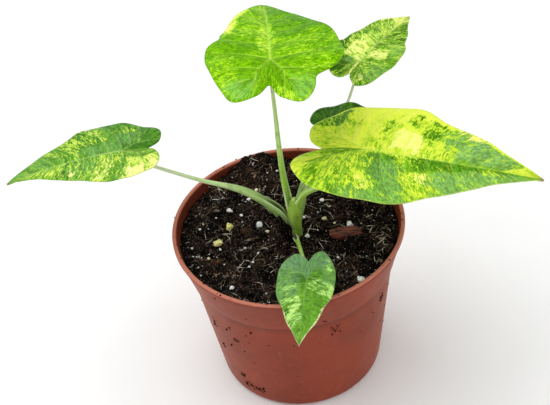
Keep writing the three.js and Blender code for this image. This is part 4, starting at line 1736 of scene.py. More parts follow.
@dataclass(frozen=True)
class VeinPlan:
    """How the ribs and the side veins of one half of a blade run, on the flat blade."""

    form: BladeForm
    side: int
    lobe_rib_angle: float = 152.0
    lobe_rib_share: float = 0.74
    stalk_vein_angle: float = 74.0
    forward_sweep: float = 0.12

    def mirrored(self, points: Array) -> Array:
        """Turn the right half's points over to their own side."""
        return points * np.array([1.0, -1.0]) if self.side == RIGHT else points

    def ends(self, run: Array) -> Tuple[Array, Array]:
        """Find both ends of the side veins, as they would be on the left half.

        Args:
            run: Places round the half blade, from 0 at the tip to 1 at the notch.

        Returns:
            The points on the ribs and on the margin, each with x and y on the last axis.
        """
        end = self.lobe_rib_share * self.form.margin_radius(self.side, np.array([self.lobe_rib_angle]))[0]
        ahead = np.clip(1 - run / STALK_RUN, 0, 1)
        out = np.clip((run - STALK_RUN) / (LOBE_RUN - STALK_RUN), 0, 1)
        home = np.clip((run - LOBE_RUN) / (1 - LOBE_RUN), 0, 1)
        angle = self.stalk_vein_angle * (1 - ahead) ** 2
        angle = angle + (self.lobe_rib_angle - self.stalk_vein_angle) * out
        angle = angle + (180 - self.lobe_rib_angle) * home
        along_lobe = end * (out - home)
        turn = math.radians(self.lobe_rib_angle)
        rib_x = np.where(run <= STALK_RUN, ahead * self.form.length, along_lobe * math.cos(turn))
        radius = self.form.margin_radius(self.side, angle)
        margin = np.stack([radius * np.cos(np.radians(angle)), radius * np.sin(np.radians(angle))], -1)
        margin[np.abs(margin) < 1e-9] = 0.0
        return np.stack([rib_x, along_lobe * math.sin(turn)], -1), margin

    def lay_out(self, run: Array, reach: Array) -> Array:
        """Lay the side veins out on the flat blade.

        Args:
            run: Places round the half blade.
            reach: Places along the side veins, from 0 on the rib to 1 on the margin.

        Returns:
            x and y of every crossing, in an array of runs by reaches by two.
        """
        rib, margin = self.ends(run)
        chord = margin - rib
        back = np.stack([-chord[:, 1], chord[:, 0]], -1)
        fade = np.clip((LOBE_RUN - run) / (LOBE_RUN - STALK_RUN), 0, 1) * self.forward_sweep
        middle = (rib + margin) / 2 + back * fade[:, None]
        u = reach[None, :, None]
        flat = (1 - u) ** 2 * rib[:, None] + 2 * u * (1 - u) * middle[:, None] + u**2 * margin[:, None]
        return self.mirrored(flat)


@dataclass
class Leaf:
    """One leaf: its blade, its stalk, its markings and its finishes.

    `left` and `right` hold the patches of each half. `shares` are the lime, cream, painted sheen and dark
    shares where none lies.
    """

    name: str
    form: BladeForm
    stalk: Tube
    left: Dict[PatchKind, Spots]
    right: Dict[PatchKind, Spots]
    shares: Four
    finish: BladeFinish
    stalk_finish: StalkFinish
    slot: str
    detail: float = 1.0
    seed: float = 0.0
    side_vein_runs: Numbers = (0.13, 0.22, 0.31, 0.39, 0.47, 0.545, 0.61, 0.68, 0.75, 0.92)
    thickness: float = 0.75
    edge_thickness: float = 0.28
    quilting: float = 1.0
    lobe_rib_share: float = 0.35
    jag: Pair = (0.02, 0.1)
    jag_size: float = 5.0

    def build(self) -> None:
        """Make the blade and its stalk."""
        draft = MeshDraft()
        for side in (LEFT, RIGHT):
            HalfBlade(self, side).add_to(draft)
        blade = draft.build(f"leaf_blade_{self.name}", self.finish.make(f"leaf_{self.name}"))
        hand_over(blade, self.slot, f"blade_{self.name}")
        stem = MeshDraft()
        self.stalk.add_to(stem)
        piece = stem.build(f"leaf_stalk_{self.name}", self.stalk_finish.make(f"stalk_{self.name}"))
        hand_over(piece, "stalk", f"stalk_{self.name}")


class HalfBlade:
    """One half of a leaf's blade, as a grid of runs by reaches.

    `size` is what the widths and depths of the veins are counted in. `rib` and `side_vein` are each
    point's distances from the nearest of them. COUNTS are rows up to the stalk, rows along the lobe and
    columns. A reach is a half width, a dip lies in the upper face and a keel under the lower one.
    """

    VEIN_SAMPLES = 46
    RIB_SAMPLES = 160
    VEIN_END = 0.94
    COUNTS = (130, 44, 34)
    NUDGE = 0.05
    RIB_REACH, RIB_DIP, RIB_KEEL = 0.85, 0.32, 0.85
    VEIN_REACH, VEIN_DIP, VEIN_KEEL = 0.55, 0.2, 0.25
    PALE_RIB_REACH, PALE_VEIN_REACH = 0.62, 0.4
    QUILT_REACH, FLAT_BY_RIB = 3.2, 2.4
    FOLD_REACH, FOLD_START = 2.6, 0.35
    TIP_REACH = 3.2
    PATTERN_APART = 40.0

    def __init__(self, leaf: Leaf, side: int) -> None:
        """Lay the half out flat and measure its veins.

        Args:
            leaf: The leaf.
            side: LEFT or RIGHT.
        """
        self.leaf, self.form, self.side = leaf, leaf.form, side
        self.size = leaf.form.length / 80
        self.plan = VeinPlan(leaf.form, side)
        front, lobe, columns = (int(count * leaf.detail) for count in self.COUNTS)
        self.runs = np.concatenate([
            np.linspace(0, STALK_RUN, front, endpoint=False),
            np.linspace(STALK_RUN, LOBE_RUN, lobe, endpoint=False),
            np.linspace(LOBE_RUN, 1, lobe + 1),
        ])
        self.reaches = np.linspace(0, 1, columns + 1)
        self.flat = self.plan.lay_out(self.runs, self.reaches)
        self.x, self.y = self.flat[..., 0], self.flat[..., 1]

        ribs = self.plan.mirrored(self.plan.ends(np.linspace(0, LOBE_RUN, self.RIB_SAMPLES))[0])
        starts = np.array(leaf.side_vein_runs)
        along = np.linspace(0, self.VEIN_END, self.VEIN_SAMPLES)
        veins = self.plan.lay_out(starts, along).reshape(-1, 2)
        self.rib, _ = self._nearest(ribs)
        self.side_vein, sample = self._nearest(veins)
        # The fold value, from -1 to 1 across each side vein, sets the painted shading beside it: darker on
        # one side, lighter on the other.
        beside = near(self.side_vein, self.FOLD_REACH * self.size)
        beside *= 1 - near(self.side_vein, self.FOLD_START * self.size)
        past_vein = np.sign(self.runs[:, None] - starts[sample // self.VEIN_SAMPLES])
        self.fold = past_vein * beside * (1 - 0.6 * self.reaches)

        from_stalk = np.hypot(self.x, self.y)
        lobe_end = np.hypot(*self.plan.ends(np.array([LOBE_RUN]))[0][0])
        behind = smooth(2.0, -4.0, self.x)
        fading = leaf.lobe_rib_share * (1 - smooth(0.2 * lobe_end, 0.95 * lobe_end, from_stalk))
        self.strength = (1 - behind) * (1 - 0.5 * from_stalk / self.form.length) + behind * fading

    def _nearest(self, line: Array) -> Tuple[Array, Array]:
        """Give each point's distance from the nearest point of a line, and that point's number."""
        away = np.sqrt(((self.flat.reshape(-1, 1, 2) - line[None]) ** 2).sum(-1))
        return tuple(found.reshape(self.x.shape) for found in (away.min(1), away.argmin(1)))

    def add_to(self, draft: MeshDraft) -> None:
        """Add both faces and the margin to a mesh.

        Args:
            draft: The mesh.
        """
        upper, lower = self._faces()
        values = self._values()
        under = {**values, "tone": values["tone"] + np.array([0.0, 1.0, 0.0])}
        turned = self.side == RIGHT
        draft.add_grid(upper, values, turned)
        draft.add_grid(lower, under, not turned)
        edge = np.stack([lower[:, -1], upper[:, -1]])
        draft.add_grid(edge, {n: np.stack([v[:, -1], v[:, -1]]) for n, v in values.items()}, turned)

    def _faces(self) -> Tuple[Array, Array]:
        """Bend the flat points into the upper and the lower face, with sunk veins above and ribs below.

        Returns:
            The points of both faces.
        """
        place, x, y, step, size = self.form.place, self.x, self.y, self.NUDGE, self.size
        normal = np.cross(place(x + step, y) - place(x - step, y), place(x, y + step) - place(x, y - step))
        normal /= np.linalg.norm(normal, axis=-1)[..., None]
        inner = (1 - near(self.rib, self.FLAT_BY_RIB * size)) * smooth(1.0, 0.93, self.runs)[:, None]
        inner = inner * smooth(1.0, 0.8, self.reaches)
        quilt = 1 - near(self.side_vein, self.QUILT_REACH * size)
        groove = near(self.side_vein, self.VEIN_REACH * size)
        rib_share = near(self.rib, self.RIB_REACH * size) * self.strength
        relief = (self.leaf.quilting * size * quilt - self.VEIN_DIP * size * groove) * inner
        upper = place(x, y) + (relief - self.RIB_DIP * size * rib_share)[..., None] * normal
        edge = self.reaches**4
        depth = (self.leaf.thickness * (1 - edge) + self.leaf.edge_thickness * edge) * max(size, 0.7) ** 0.5
        depth = depth + self.RIB_KEEL * size * rib_share + self.VEIN_KEEL * size * groove * inner
        return upper, upper - depth[..., None] * normal

    def _values(self) -> Values:
        """Work out what the finish reads at each point.

        Returns:
            Three values a point under each name.
        """
        leaf, size, run, reach = self.leaf, self.size, self.runs[:, None], self.reaches
        ground = np.stack([self.x, self.y, 0 * self.x], -1)
        jagged_run = run + leaf.jag[0] * relief_noise(ground, leaf.jag_size, 3, leaf.seed + 2.0)
        jagged_reach = reach + leaf.jag[1] * relief_noise(ground, leaf.jag_size, 3, leaf.seed + 9.0)
        tissue_and_sheen = {kind: np.full(self.x.shape, share) for kind, share in zip(PatchKind, leaf.shares)}
        for kind, spots in (leaf.left, leaf.right)[self.side].items():
            tissue_and_sheen[kind] = cover(spots, jagged_run, jagged_reach, tissue_and_sheen[kind])
        vein_length = np.linalg.norm(self.flat[:, -1] - self.flat[:, 0], axis=-1)[:, None]
        rib_share = near(self.rib, self.PALE_RIB_REACH * size) * self.strength
        vein_share = near(self.side_vein, self.PALE_VEIN_REACH * size) * (1 - 0.8 * reach)
        tip = smooth(self.TIP_REACH * size, 0.5, np.hypot(self.x - self.form.length, self.y))
        middle = self.plan.lay_out(self.runs, np.array([0.55]))[:, 0]
        along = np.append(0, np.cumsum(np.hypot(*np.diff(middle, axis=0).T)))[:, None]
        return {
            "streak": layered(along, reach * vein_length, leaf.seed + self.PATTERN_APART * self.side),
            "tissue_and_sheen": layered(tissue_and_sheen[LIME], tissue_and_sheen[CREAM], tissue_and_sheen[PAINTED_SHEEN]),
            "tone": layered(tissue_and_sheen[DARK], 0.0, tip),
            "veins": layered(rib_share, vein_share, (1 - reach) * vein_length),
            "fold": layered(self.fold, self.fold, self.fold),
        }


GREEN_STALK = StalkFinish(base="7fa42a", middle="98c440", far="cfe2a6")
PALE_STALK = StalkFinish(base="6e8e38", middle="a4c472", far="dde8c4", fresh_height=0.118)
MEMBRANE_FINISH = StalkFinish(
    base="8cb03a", middle="98bd44", far="b8d078", deep_height=0.1, fresh_height=0.11, line_count=4.0
)
STEM_FINISH = StalkFinish(base="6d8c26", middle="94b93e", far="98bd44", line_count=4.0)

# The tall leaf at the back, bright green with fine lime flecks
TOP_LEAF = Leaf(
    name="top",
    form=BladeForm(
        at=(0.7, 12, 188.5), heading=87.4, pitch=-5.4, roll=14.6, twist=1,
        length=80, notch=19.7, half_width=(31, 35), lobe=(32.7, 33.9), fullness=(0, 0.7),
        droop=17, back_droop=28, rise=(4, 19.5), arch=(29, 10), wave=(1.3, 7, 0.5),
        bulges=(((150, 11, 0.08), (55, 11, -0.16)), ((123.5, 16, -0.23), (165.5, 9, -0.07))),
    ),
    stalk=Tube(
        route=(
            (3.6, -2.6, 90), (2.9, -2.3, 97), (2.2, -1.8, 103), (1.5, -0.2, 112), (0.6, 2, 122),
            (0, 5, 140), (0.1, 8, 155.5), (0.1, 10.6, 172), (0.3, 11.6, 185.3), (0.6, 12, 187.7),
        ),
        radii=(1.4, 1.75, 1.9, 1.6, 1.35, 1.15, 1.0, 0.95, 1.1),
        opens=(0.35, -1, 0.1), sheath=(0.1, 0.36), flare=0.05, gap=62, wall=3.0,
    ),
    left={
        LIME: (
            (6, 46, 0, 85, 40), (30, 56, 0, 22, 66), (46, 59, 25, 90, 10), (22, 43, 80, 200, 95),
            (62, 83, 42, 95, 34), (62, 97, 0, 32, 8), (77.5, 90, 20, 80, 12),
        ),
        CREAM: ((25, 41, 88, 200, 80, 3),),
        PAINTED_SHEEN: ((77.5, 91, 20, 90, 100, 4),),
        DARK: ((61, 98, 0, 40, 20), (46, 59, 30, 95, 30)),
    },
    right={
        LIME: (
            (5, 46, 10, 200, 7), (30, 58, 0, 8, 50), (49, 57, 10, 95, 30), (57, 77, 30, 95, 28),
            (77, 110, 0, 60, 10), (86, 97, 60, 200, 50), (77.5, 86, 20, 80, 10),
        ),
        PAINTED_SHEEN: ((77.5, 87, 5, 200, 95, 4),),
        DARK: ((63, 110, 0, 35, 20), (5, 46, 8, 200, 45)),
    },
    shares=(0.2, 0.0, 0.0, 0.24),
    side_vein_runs=(0.14, 0.27, 0.39, 0.5, 0.6, 0.7, 0.79, 0.92),
    quilting=0.75,
    finish=BladeFinish(
        deep="4a8c00", green="66a800", bright="7aba02", half="98d418", lime="bcee34", pale="daf85c",
        cream="f8fc80", grey="8ecc58", vein="ccf25c", margin="7cb030", gloss="d0ff60", crispness=0.08,
        weights=(0.18, 0.4, 0.42), streak=0.8, fleck=1.6, flow=0.3, pebble_shading=0.14, fold_shading=0.07,
        vein_share=0.9, side_vein_share=0.7, shine=0.07,
    ),
    stalk_finish=GREEN_STALK, slot="leaf_bright_green", seed=3.0,
)

# The large leaf on the right, lime yellow behind its midrib and mottled green before it
RIGHT_LEAF = Leaf(
    name="right",
    form=BladeForm(
        at=(39.9, -12, 146.9), heading=-17.6, pitch=-4.9, roll=3, twist=10.8,
        length=85, notch=21.2, half_width=(35.2, 37.5), lobe=(31.8, 34.9), fullness=(0.7, -0.2),
        droop=6.4, back_droop=23, rise=(6.1, 11.3), arch=(17.5, 17.7), wave=(1.2, 7, 2),
        bulges=(((96, 14, -0.12),), ((81, 15, -0.1),)),
    ),
    stalk=Tube(
        route=(
            (4.3, -2.7, 91), (4.7, -3.0, 98), (5.1, -3.3, 104), (6.0, -3.8, 110.6), (8.3, -4.7, 115.9),
            (11.8, -5.9, 119.5), (17, -7.6, 123), (29, -9.8, 132.5), (38.6, -12, 143), (39.6, -12, 146.2),
        ),
        radii=(1.6, 1.85, 2.1, 1.8, 1.5, 1.25, 1.1, 1.05, 1.1),
        opens=(-0.6, 0.3, 0.75), sheath=(0.2, 0.42), flare=0.05, gap=60, wall=3.0,
    ),
    left={
        LIME: (
            (36, 110, -100, 200, 112), (2, 14, -100, 200, 75), (14, 36, -100, 200, 24),
            (10, 36, 88, 200, 95), (31, 45, 0, 42, 68), (33, 38, 60, 90, 75), (37.5, 44.5, 42, 92, 40),
            (45.5, 50.5, 56, 84, 42), (52.5, 57.5, 28, 62, 64), (50, 62, 0, 26, 78), (65.5, 70, 40, 64, 56),
            (71, 84, 42, 92, 40), (68, 80, 5, 42, 90), (84, 99, -100, 200, 84),
        ),
        CREAM: ((42.5, 52, 6, 46, 95, 2), (29, 36, 80, 200, 80)),
        PAINTED_SHEEN: ((13, 36, 10, 88, 100, 4),),
        DARK: ((70, 84, 42, 92, 80), (37.5, 50.5, 42, 92, 70)),
    },
    right={
        LIME: (
            (3, 60, -100, 30, 20), (42, 64, -100, 12, 70), (14, 20, 10, 60, 40), (26, 42, 50, 200, 26),
            (42, 52, 10, 45, 36), (40, 50.5, 45, 200, 68), (50.5, 59, 5, 84, 14), (56, 60, 0, 16, 75),
            (59, 66.5, 10, 80, 74), (66.5, 84, -100, 34, 56), (66.5, 84, 34, 200, 54),
            (82, 94, 20, 200, 90), (94, 110, -100, 200, 30),
        ),
        CREAM: ((40, 44.5, 50, 72, 60), (60, 63, 60, 78, 60)),
        PAINTED_SHEEN: (
            (10, 26, 30, 200, 80, 4), (25, 41, 46, 200, 90, 4), (49, 58, 20, 200, 70, 4),
            (58, 68, 80, 200, 80, 4),
        ),
        DARK: ((50.5, 59, 5, 84, 60), (10, 44, 0, 40, 80), (66.5, 84, 0, 95, 25)),
    },
    shares=(0.26, 0.0, 0.0, 0.22),
    finish=BladeFinish(
        deep="4a8a0a", green="68a416", bright="80ba2a", half="b0dc2c", lime="ceee34", pale="ecfc50",
        cream="fcff84", grey="86b86c", vein="bce45c", margin="dcf278", pebble_shading=0.14,
        weights=(0.24, 0.38, 0.38), streak=0.72, fleck=1.5, crispness=0.18, shine=0.13,
    ),
    stalk_finish=GREEN_STALK, slot="leaf_lime", seed=17.0,
)

# The leaf on the left, streaked in greens with a pale yellow sector on its near lobe
LEFT_LEAF = Leaf(
    name="left",
    form=BladeForm(
        at=(-77.5, 12, 145.2), heading=188.6, pitch=4.3, roll=1.4, twist=-3.5,
        length=58.2, notch=13.7, half_width=(24.2, 24.9), lobe=(20.8, 23.3), fullness=(-0.3, 0.6),
        droop=19.3, back_droop=1, rise=(10.6, 7.8), arch=(20, 20.4), wave=(1, 7, 1),
        bulges=(((82.5, 13, -0.1), (163.5, 13.5, -0.15)), ((74, 12, 0.09),)),
    ),
    stalk=Tube(
        route=(
            (1.4, -0.4, 84), (-0.4, 0.6, 92), (-3.6, 1.2, 100.5), (-7.6, 1.6, 106.6), (-12.5, 2.4, 111.6),
            (-22, 4.5, 117.3), (-41.3, 7.5, 124.2), (-62, 10, 134), (-77.2, 12, 141.6), (-77.3, 12, 144.5),
        ),
        radii=(2.3, 2.5, 2.4, 2.0, 1.3, 1.0, 0.95, 0.9, 0.95),
        opens=(0.56, 0.12, 0.8), sheath=(0.17, 0.33), flare=0.36, gap=58, wall=1.2, edge=0.3,
    ),
    left={
        LIME: (
            (62, 86, 30, 200, 86), (55, 64, 6, 60, 34), (48, 56, 5, 200, 72), (36, 48, 10, 200, 46),
            (10, 33, 0, 80, 56),
        ),
        CREAM: (
            (63.5, 73.5, 66, 200, 95, 2), (73.5, 84, 40, 200, 46), (50, 55.5, 35, 95, 40),
            (34, 37.5, 60, 86, 75),
        ),
        PAINTED_SHEEN: ((60, 64.5, 60, 92, 85), (36, 48, 20, 85, 60)),
        DARK: ((30, 34, 55, 90, 90),),
    },
    right={
        LIME: (
            (60, 80, 10, 200, 20), (65.5, 72, 48, 64, 62, 1.2), (38, 56, 42, 95, 56), (27, 42, 20, 92, 42),
            (6, 27, 30, 200, 20), (78, 110, -100, 200, 3), (42, 74, 0, 34, 10),
        ),
        CREAM: ((42, 56, 96, 200, 50),),
        PAINTED_SHEEN: ((60, 74, 12, 50, 85), (42, 60, 0, 30, 85), (6, 27, 10, 200, 70)),
        DARK: ((58, 110, -100, 200, 60), (38, 58, 30, 200, 50)),
    },
    shares=(0.32, 0.0, 0.1, 0.26),
    finish=BladeFinish(
        deep="367414", green="529020", bright="6aa62c", half="96c636", lime="c4e452", pale="e0f26c",
        cream="fafd98", grey="74aa5a", vein="c0e28a", margin="8cb060", crispness=0.1,
        weights=(0.22, 0.4, 0.38), streak=0.85, fleck=1.7, flow=0.28, pebble_shading=0.13,
    ),
    stalk_finish=PALE_STALK, slot="leaf_mottled", detail=0.85, seed=29.0,
)

# The small leaf at the back right, cream and pale green on its left half
BACK_LEAF = Leaf(
    name="back",
    form=BladeForm(
        at=(47.2, 48, 156), heading=44.7, pitch=10.9, roll=2.2, twist=3.3,
        length=43.5, notch=10.1, half_width=(19, 17.6), lobe=(16.1, 17.9), fullness=(0.8, 0.6),
        droop=14, back_droop=8.4, rise=(12.4, 12), arch=(19.8, 16.8), wave=(0.8, 6, 0),
        bulges=(((64.5, 12, -0.12),), ((166.5, 11, -0.13), (42.5, 14, 0.12))),
    ),
    stalk=Tube(
        route=(
            (4.2, 0.6, 84), (5.0, 1.4, 90), (6.2, 2.6, 96), (7.9, 3.6, 101.6), (9.8, 5.4, 108.6),
            (13.2, 9.6, 113.8), (25, 22, 124.8), (38.1, 36, 140.2), (42.2, 42, 146), (46.6, 47.4, 153),
            (47.1, 48, 155.3),
        ),
        radii=(1.5, 1.6, 1.6, 1.45, 1.0, 0.8, 0.75, 0.7, 0.75),
        opens=(-0.8, -0.35, 0.45), sheath=(0.2, 0.34), flare=0.8, gap=60, wall=1.1, edge=0.3,
    ),
    left={
        LIME: (
            (-100, 20, -100, 200, 100), (20, 42, 0, 78, 62, 3), (40, 64, 0, 62, 86), (36, 62, 62, 200, 46),
            (66, 84, 10, 90, 5), (84, 110, -100, 200, 45),
        ),
        CREAM: (
            (-100, 20, -100, 200, 55), (12, 30, 86, 200, 60), (46, 62, 12, 60, 60),
            (95.5, 110, 10, 200, 60),
        ),
        PAINTED_SHEEN: ((20, 42, 0, 78, 30), (62, 70, 5, 40, 70)),
        DARK: ((36, 62, 62, 200, 60), (64, 90, 10, 90, 90)),
    },
    right={
        LIME: (
            (-100, 14, -100, 200, 70), (14, 45, 5, 200, 40), (46, 58, 5, 66, 80), (82, 92, 30, 200, 55),
        ),
        CREAM: ((48, 57, 12, 60, 52), (75, 83, 10, 50, 66)),
        PAINTED_SHEEN: ((42, 52, 55, 200, 60), (64, 78, 40, 200, 60)),
        DARK: ((14, 45, 0, 200, 40),),
    },
    shares=(0.36, 0.0, 0.0, 0.3),
    finish=BladeFinish(
        deep="3c6a04", green="60981c", bright="7cb02e", half="9cca3c", lime="c0e258", pale="dcf070",
        cream="f4fa8c", grey="86ba60", vein="cce080", margin="c0da84",
        weights=(0.28, 0.4, 0.32), streak=0.75, fleck=1.5, pebble_shading=0.15,
    ),
    stalk_finish=PALE_STALK, slot="leaf_mottled", detail=0.7, seed=41.0,
)

# The small dark green leaf half hidden behind the large one; its colours are partly its own and partly
# painted shade
DARK_LEAF = Leaf(
    name="dark",
    form=BladeForm(
        at=(31.2, 19, 139.2), heading=0, pitch=2, roll=7, twist=0,
        length=38, notch=8, half_width=(15, 13.5), lobe=(14.2, 10), fullness=(0.4, 0.4),
        droop=16, back_droop=6, rise=(9, 9), arch=(20, 20), wave=(0.7, 6, 1.4),
        bulges=(((140, 20, 0.12),), ()),
    ),
    stalk=Tube(
        route=(
            (3.9, 1.0, 86), (4.4, 3.6, 93), (5.8, 7.0, 100), (8, 9.6, 106), (11, 12, 112.5),
            (17, 14.8, 121), (25, 17.6, 130.5), (30.9, 18.7, 135.6), (31.1, 18.9, 138.5),
        ),
        radii=(1.7, 1.6, 1.3, 1.0, 0.8, 0.7, 0.7),
        opens=(0.4, -0.7, 0.5), sheath=(0.15, 0.3), flare=0.3, gap=60, wall=1.2,
    ),
    left={
        PAINTED_SHEEN: ((55, 85, 20, 70, 60),),
    },
    right={
        LIME: ((30, 60, 20, 90, 30),),
    },
    shares=(0.1, 0.0, 0.0, 0.5),
    finish=BladeFinish(
        deep="2f600c", green="447a14", bright="54881e", half="64962a", lime="78a83a", pale="92be52",
        cream="c8dc8c", grey="5c8a3e", vein="76a04a", margin="5a8a34", pebble_shading=0.14,
    ),
    stalk_finish=PALE_STALK, slot="leaf_dark_green", detail=0.6, seed=53.0,
)

# The small leaf that hangs over the front of the rim
FRONT_LEAF = Leaf(
    name="front",
    form=BladeForm(
        at=(5.2, -52, 105.4), heading=255, pitch=-22.6, roll=3.9, twist=0,
        length=33.5, notch=8.9, half_width=(13.9, 15), lobe=(15.3, 14.2), fullness=(0.7, 0.8),
        droop=2.4, back_droop=-3, rise=(9.5, 9), arch=(20.7, 21.7), wave=(0.6, 6, 0.8),
        bulges=((), ((166, 12, -0.14),)),
    ),
    stalk=Tube(
        route=(
            (3.3, -3, 85.5), (2.9, -5.6, 89.6), (3.3, -10, 92.2), (4.3, -22, 97), (5.2, -38, 101.4),
            (5.3, -46, 102.6), (5.0, -51, 102.9), (5.2, -51.8, 104.9),
        ),
        radii=(1.5, 1.35, 1.05, 0.95, 0.85, 0.85),
        opens=(-0.7, 0.3, 0.8), sheath=(0.15, 0.3), flare=0.1, gap=55, wall=1.4,
    ),
    left={
        LIME: (
            (66, 110, -100, 200, 0, 4), (68, 80, 60, 95, 55), (49, 60, 15, 75, 55), (50, 60, 75, 200, 80),
            (3, 48, 0, 200, 6), (50, 57, 4, 40, 62),
        ),
        CREAM: ((-100, 44, 95, 200, 110, 2),),
        PAINTED_SHEEN: ((72, 110, -100, 200, 120, 6), (56, 72, 50, 200, 50, 5)),
        DARK: ((57, 70, 0, 45, 60),),
    },
    right={
        LIME: (
            (66, 110, -100, 200, 0, 4), (48, 58, 30, 90, 34), (29, 47, 20, 200, 64, 2), (6, 29, 6, 200, 38),
            (35, 40, 72, 95, 20),
        ),
        CREAM: ((-100, 40, 94, 200, 110, 2),),
        PAINTED_SHEEN: ((46, 66, 25, 200, 75, 5), (66, 110, -100, 200, 120, 6)),
        DARK: ((54, 68, 0, 45, 80), (34, 40, 70, 95, 90)),
    },
    shares=(0.12, 0.0, 0.0, 0.15),
    finish=BladeFinish(
        deep="42741c", green="5c9424", bright="6ea62c", half="90c25c", lime="aade74", pale="ccf084",
        cream="f2f0b4", grey="6c9668", vein="90bc6c", margin="86ac68", gloss="e4ffd0",
        weights=(0.28, 0.4, 0.32), streak=0.8, fleck=1.6, pebble_shading=0.12, fold_shading=0.05,
        vein_share=0.5,
    ),
    stalk_finish=GREEN_STALK, slot="leaf_mottled", detail=0.65, seed=67.0,
)


LEAVES = (TOP_LEAF, RIGHT_LEAF, LEFT_LEAF, BACK_LEAF, DARK_LEAF, FRONT_LEAF)


@dataclass
class Crown:
    """The short stem that the stalks leave, rounded off between them, and the roots below it."""

    route: Tuple[Point, ...] = (
        (4.6, 0.4, 62), (4.2, -0.6, 76), (3.8, -1.8, 88), (3.7, -2.5, 97), (3.9, -3.1, 104),
        (4.2, -3.3, 109.5), (4.4, -3.1, 113.4),
    )
    radii: Numbers = (2.6, 3.9, 3.4, 3.2, 3.3, 3.6, 2.3)
    fork: Tuple[Point, ...] = ((4.2, -3.0, 109), (4.3, -3.1, 111.5), (4.4, -3.1, 113.6), (4.4, -3.0, 114.3))
    fork_radii: Numbers = (1.5, 1.9, 1.5, 1.1)
    roots: int = 6
    root_radii: Numbers = (1.3, 1.3, 0.9, 0.5)
    root_seed: int = 5

    def build(self) -> None:
        """Make the stem with its roots, and the membrane at its fork."""
        draft = MeshDraft()
        Tube(self.route, self.radii, opens=(1, -0.6, 0), domes=(0.06, 0.05), outer_sides=40).add_to(draft)
        draws = Draws(self.root_seed)
        for i in range(self.roots):
            turn = (i / self.roots) * 2 * math.pi + 0.5 * draws.next()
            start = 66 + 7 * draws.next()
            spread = 24 + 9 * draws.next()
            depth = 14 + 16 * draws.next()
            half_down = (0.8 * spread, 0.5 * (start + depth))
            stops = ((0, start + 1), (0.35 * spread, start - 5), half_down, (spread, depth))
            route = tuple((4.4 + d * math.cos(turn), d * math.sin(turn) - 0.3, z) for d, z in stops)
            Tube(route, self.root_radii, steps=40, outer_sides=8, inner_sides=4).add_to(draft)
        hand_over(draft.build("stem_and_roots", STEM_FINISH.make("stem")), "stem", "crown_and_roots")
        membrane = MeshDraft()
        Tube(self.fork, self.fork_radii, domes=(0.2, 0.3), outer_sides=24, steps=50).add_to(membrane)
        hand_over(membrane.build("fork_membrane", MEMBRANE_FINISH.make("membrane")), "stem")


# Studio


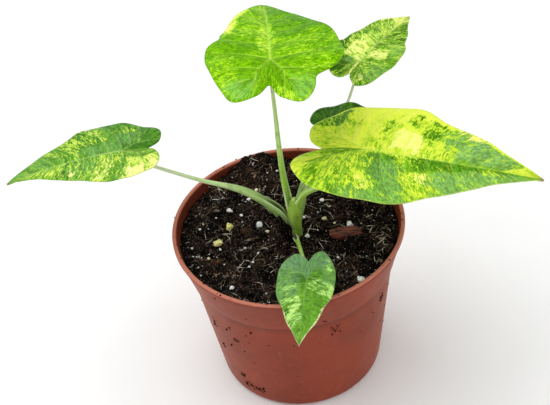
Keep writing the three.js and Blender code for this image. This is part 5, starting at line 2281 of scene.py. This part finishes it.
@dataclass
class Studio:
    """A pale floor, soft light and the camera.

    A softbox is (name, place, size, power), in metres and watts.
    """

    elevation: float = 41.4
    roll: float = -7.1
    distance: float = 587.6
    target: Point = (-5.3, 15.5, 96.0)
    focal_pixels: float = 1121.0
    image_width: float = 550.0
    sensor_width: float = 36.0
    floor_reach: float = 4.0
    floor_level: float = -0.0002
    surroundings: float = 0.66
    softboxes: Tuple[Tuple[str, Point, float, float], ...] = (
        ("overhead", (-0.4, 0.25, 1.15), 1.1, 7.7),
        ("front_fill", (0.2, -1.2, 0.7), 0.9, 2.0),
        ("left_fill", (-1.2, -0.5, 0.6), 0.9, 1.2),
        ("right_fill", (1.2, -0.3, 0.7), 0.9, 2.0),
    )

    CORNERS = ((-1, -1), (1, -1), (1, 1), (-1, 1))

    def build(self) -> None:
        """Set the camera, the floor and the lights."""
        self._camera()
        self._floor()
        self._lights()
        view = bpy.context.scene.view_settings
        view.view_transform = "Standard"
        view.look = "None"

    def _camera(self) -> None:
        """Stand the camera where the photograph was taken from."""
        tilt, roll = math.radians(self.elevation), math.radians(self.roll)
        forward = Vector((0, math.cos(tilt), -math.sin(tilt)))
        level = Vector((1, 0, 0))
        upright = level.cross(forward)
        right = level * math.cos(roll) + upright * math.sin(roll)
        up = upright * math.cos(roll) - level * math.sin(roll)
        place = (Vector(self.target) - forward * self.distance) * MM
        data = bpy.data.cameras.new("camera")
        data.sensor_fit = "HORIZONTAL"
        data.sensor_width = self.sensor_width
        data.lens = self.focal_pixels / self.image_width * self.sensor_width
        data.clip_start = 0.01
        camera = into_scene("camera", data)
        turn = Matrix((right, up, -forward)).transposed()
        camera.matrix_world = Matrix.Translation(place) @ turn.to_4x4()
        bpy.context.scene.camera = camera

    def _floor(self) -> None:
        """Lay the pale floor."""
        board = Board("floor")
        grain = board.cloud(board.object_point(), 30, 3)
        colour = board.blend(board.step(grain, 0.3, 0.7), "fbfbfb", "fdfdfd")
        mesh = bpy.data.meshes.new("floor")
        corners = [(x * self.floor_reach, y * self.floor_reach, self.floor_level) for x, y in self.CORNERS]
        mesh.from_pydata(corners, [], [(0, 1, 2, 3)])
        mesh.materials.append(board.surface(Base_Color=colour, Roughness=0.9))
        into_scene("floor", mesh)

    def _lights(self) -> None:
        """Hang the soft lights, which look at the plant, and brighten the surroundings."""
        world = bpy.data.worlds.new("surroundings")
        world.use_nodes = True
        background = world.node_tree.nodes["Background"]
        background.inputs["Color"].default_value = (1, 1, 1, 1)
        background.inputs["Strength"].default_value = self.surroundings
        bpy.context.scene.world = world
        for name, place, size, power in self.softboxes:
            data = bpy.data.lights.new(name, "AREA")
            data.shape = "SQUARE"
            data.size = size
            data.energy = power
            light = into_scene(name, data)
            light.location = place
            look = Vector((0, 0, 0.1)) - Vector(place)
            light.rotation_euler = look.to_track_quat("-Z", "Y").to_euler()


def main() -> None:
    """Build the plant, from the pot to the leaves, and report each piece."""
    logging.basicConfig(level=logging.INFO, format="%(message)s")
    Studio().build()
    pot = Pot()
    pot.build()
    soil = PottingSoil(pot)
    soil.build()
    StuckSoil(pot).build()
    for clod in SOIL_CLODS:
        clod.build()
    white = GrainFinish("ffffff", "f6f1e6", "968c7e", 1300).make("perlite")
    feed = GrainFinish("f4f0a8", "c8bc50", "5e5422", 1100).make("feed")
    for k, node in enumerate(PERLITE_NODES):
        LooseGrain(node, "perlite", 0.22, 5 + 3 * k).build(white)
    for k, node in enumerate(FEED_NODES):
        LooseGrain(node, "feed_grain", 0.32, 31 + 3 * k).build(feed)
    lay_chips(soil, WHITE_CHIPS, "perlite_chips", white)
    cream = GrainFinish("fbf3c8", "d8c890", "7c6c4a", 1300).make("cream_chips")
    lay_chips(soil, CREAM_CHIPS, "cream_chips", cream)
    BarkChip().build()
    Crown().build()
    for leaf in LEAVES:
        leaf.build()


if __name__ == "__main__":
    main()
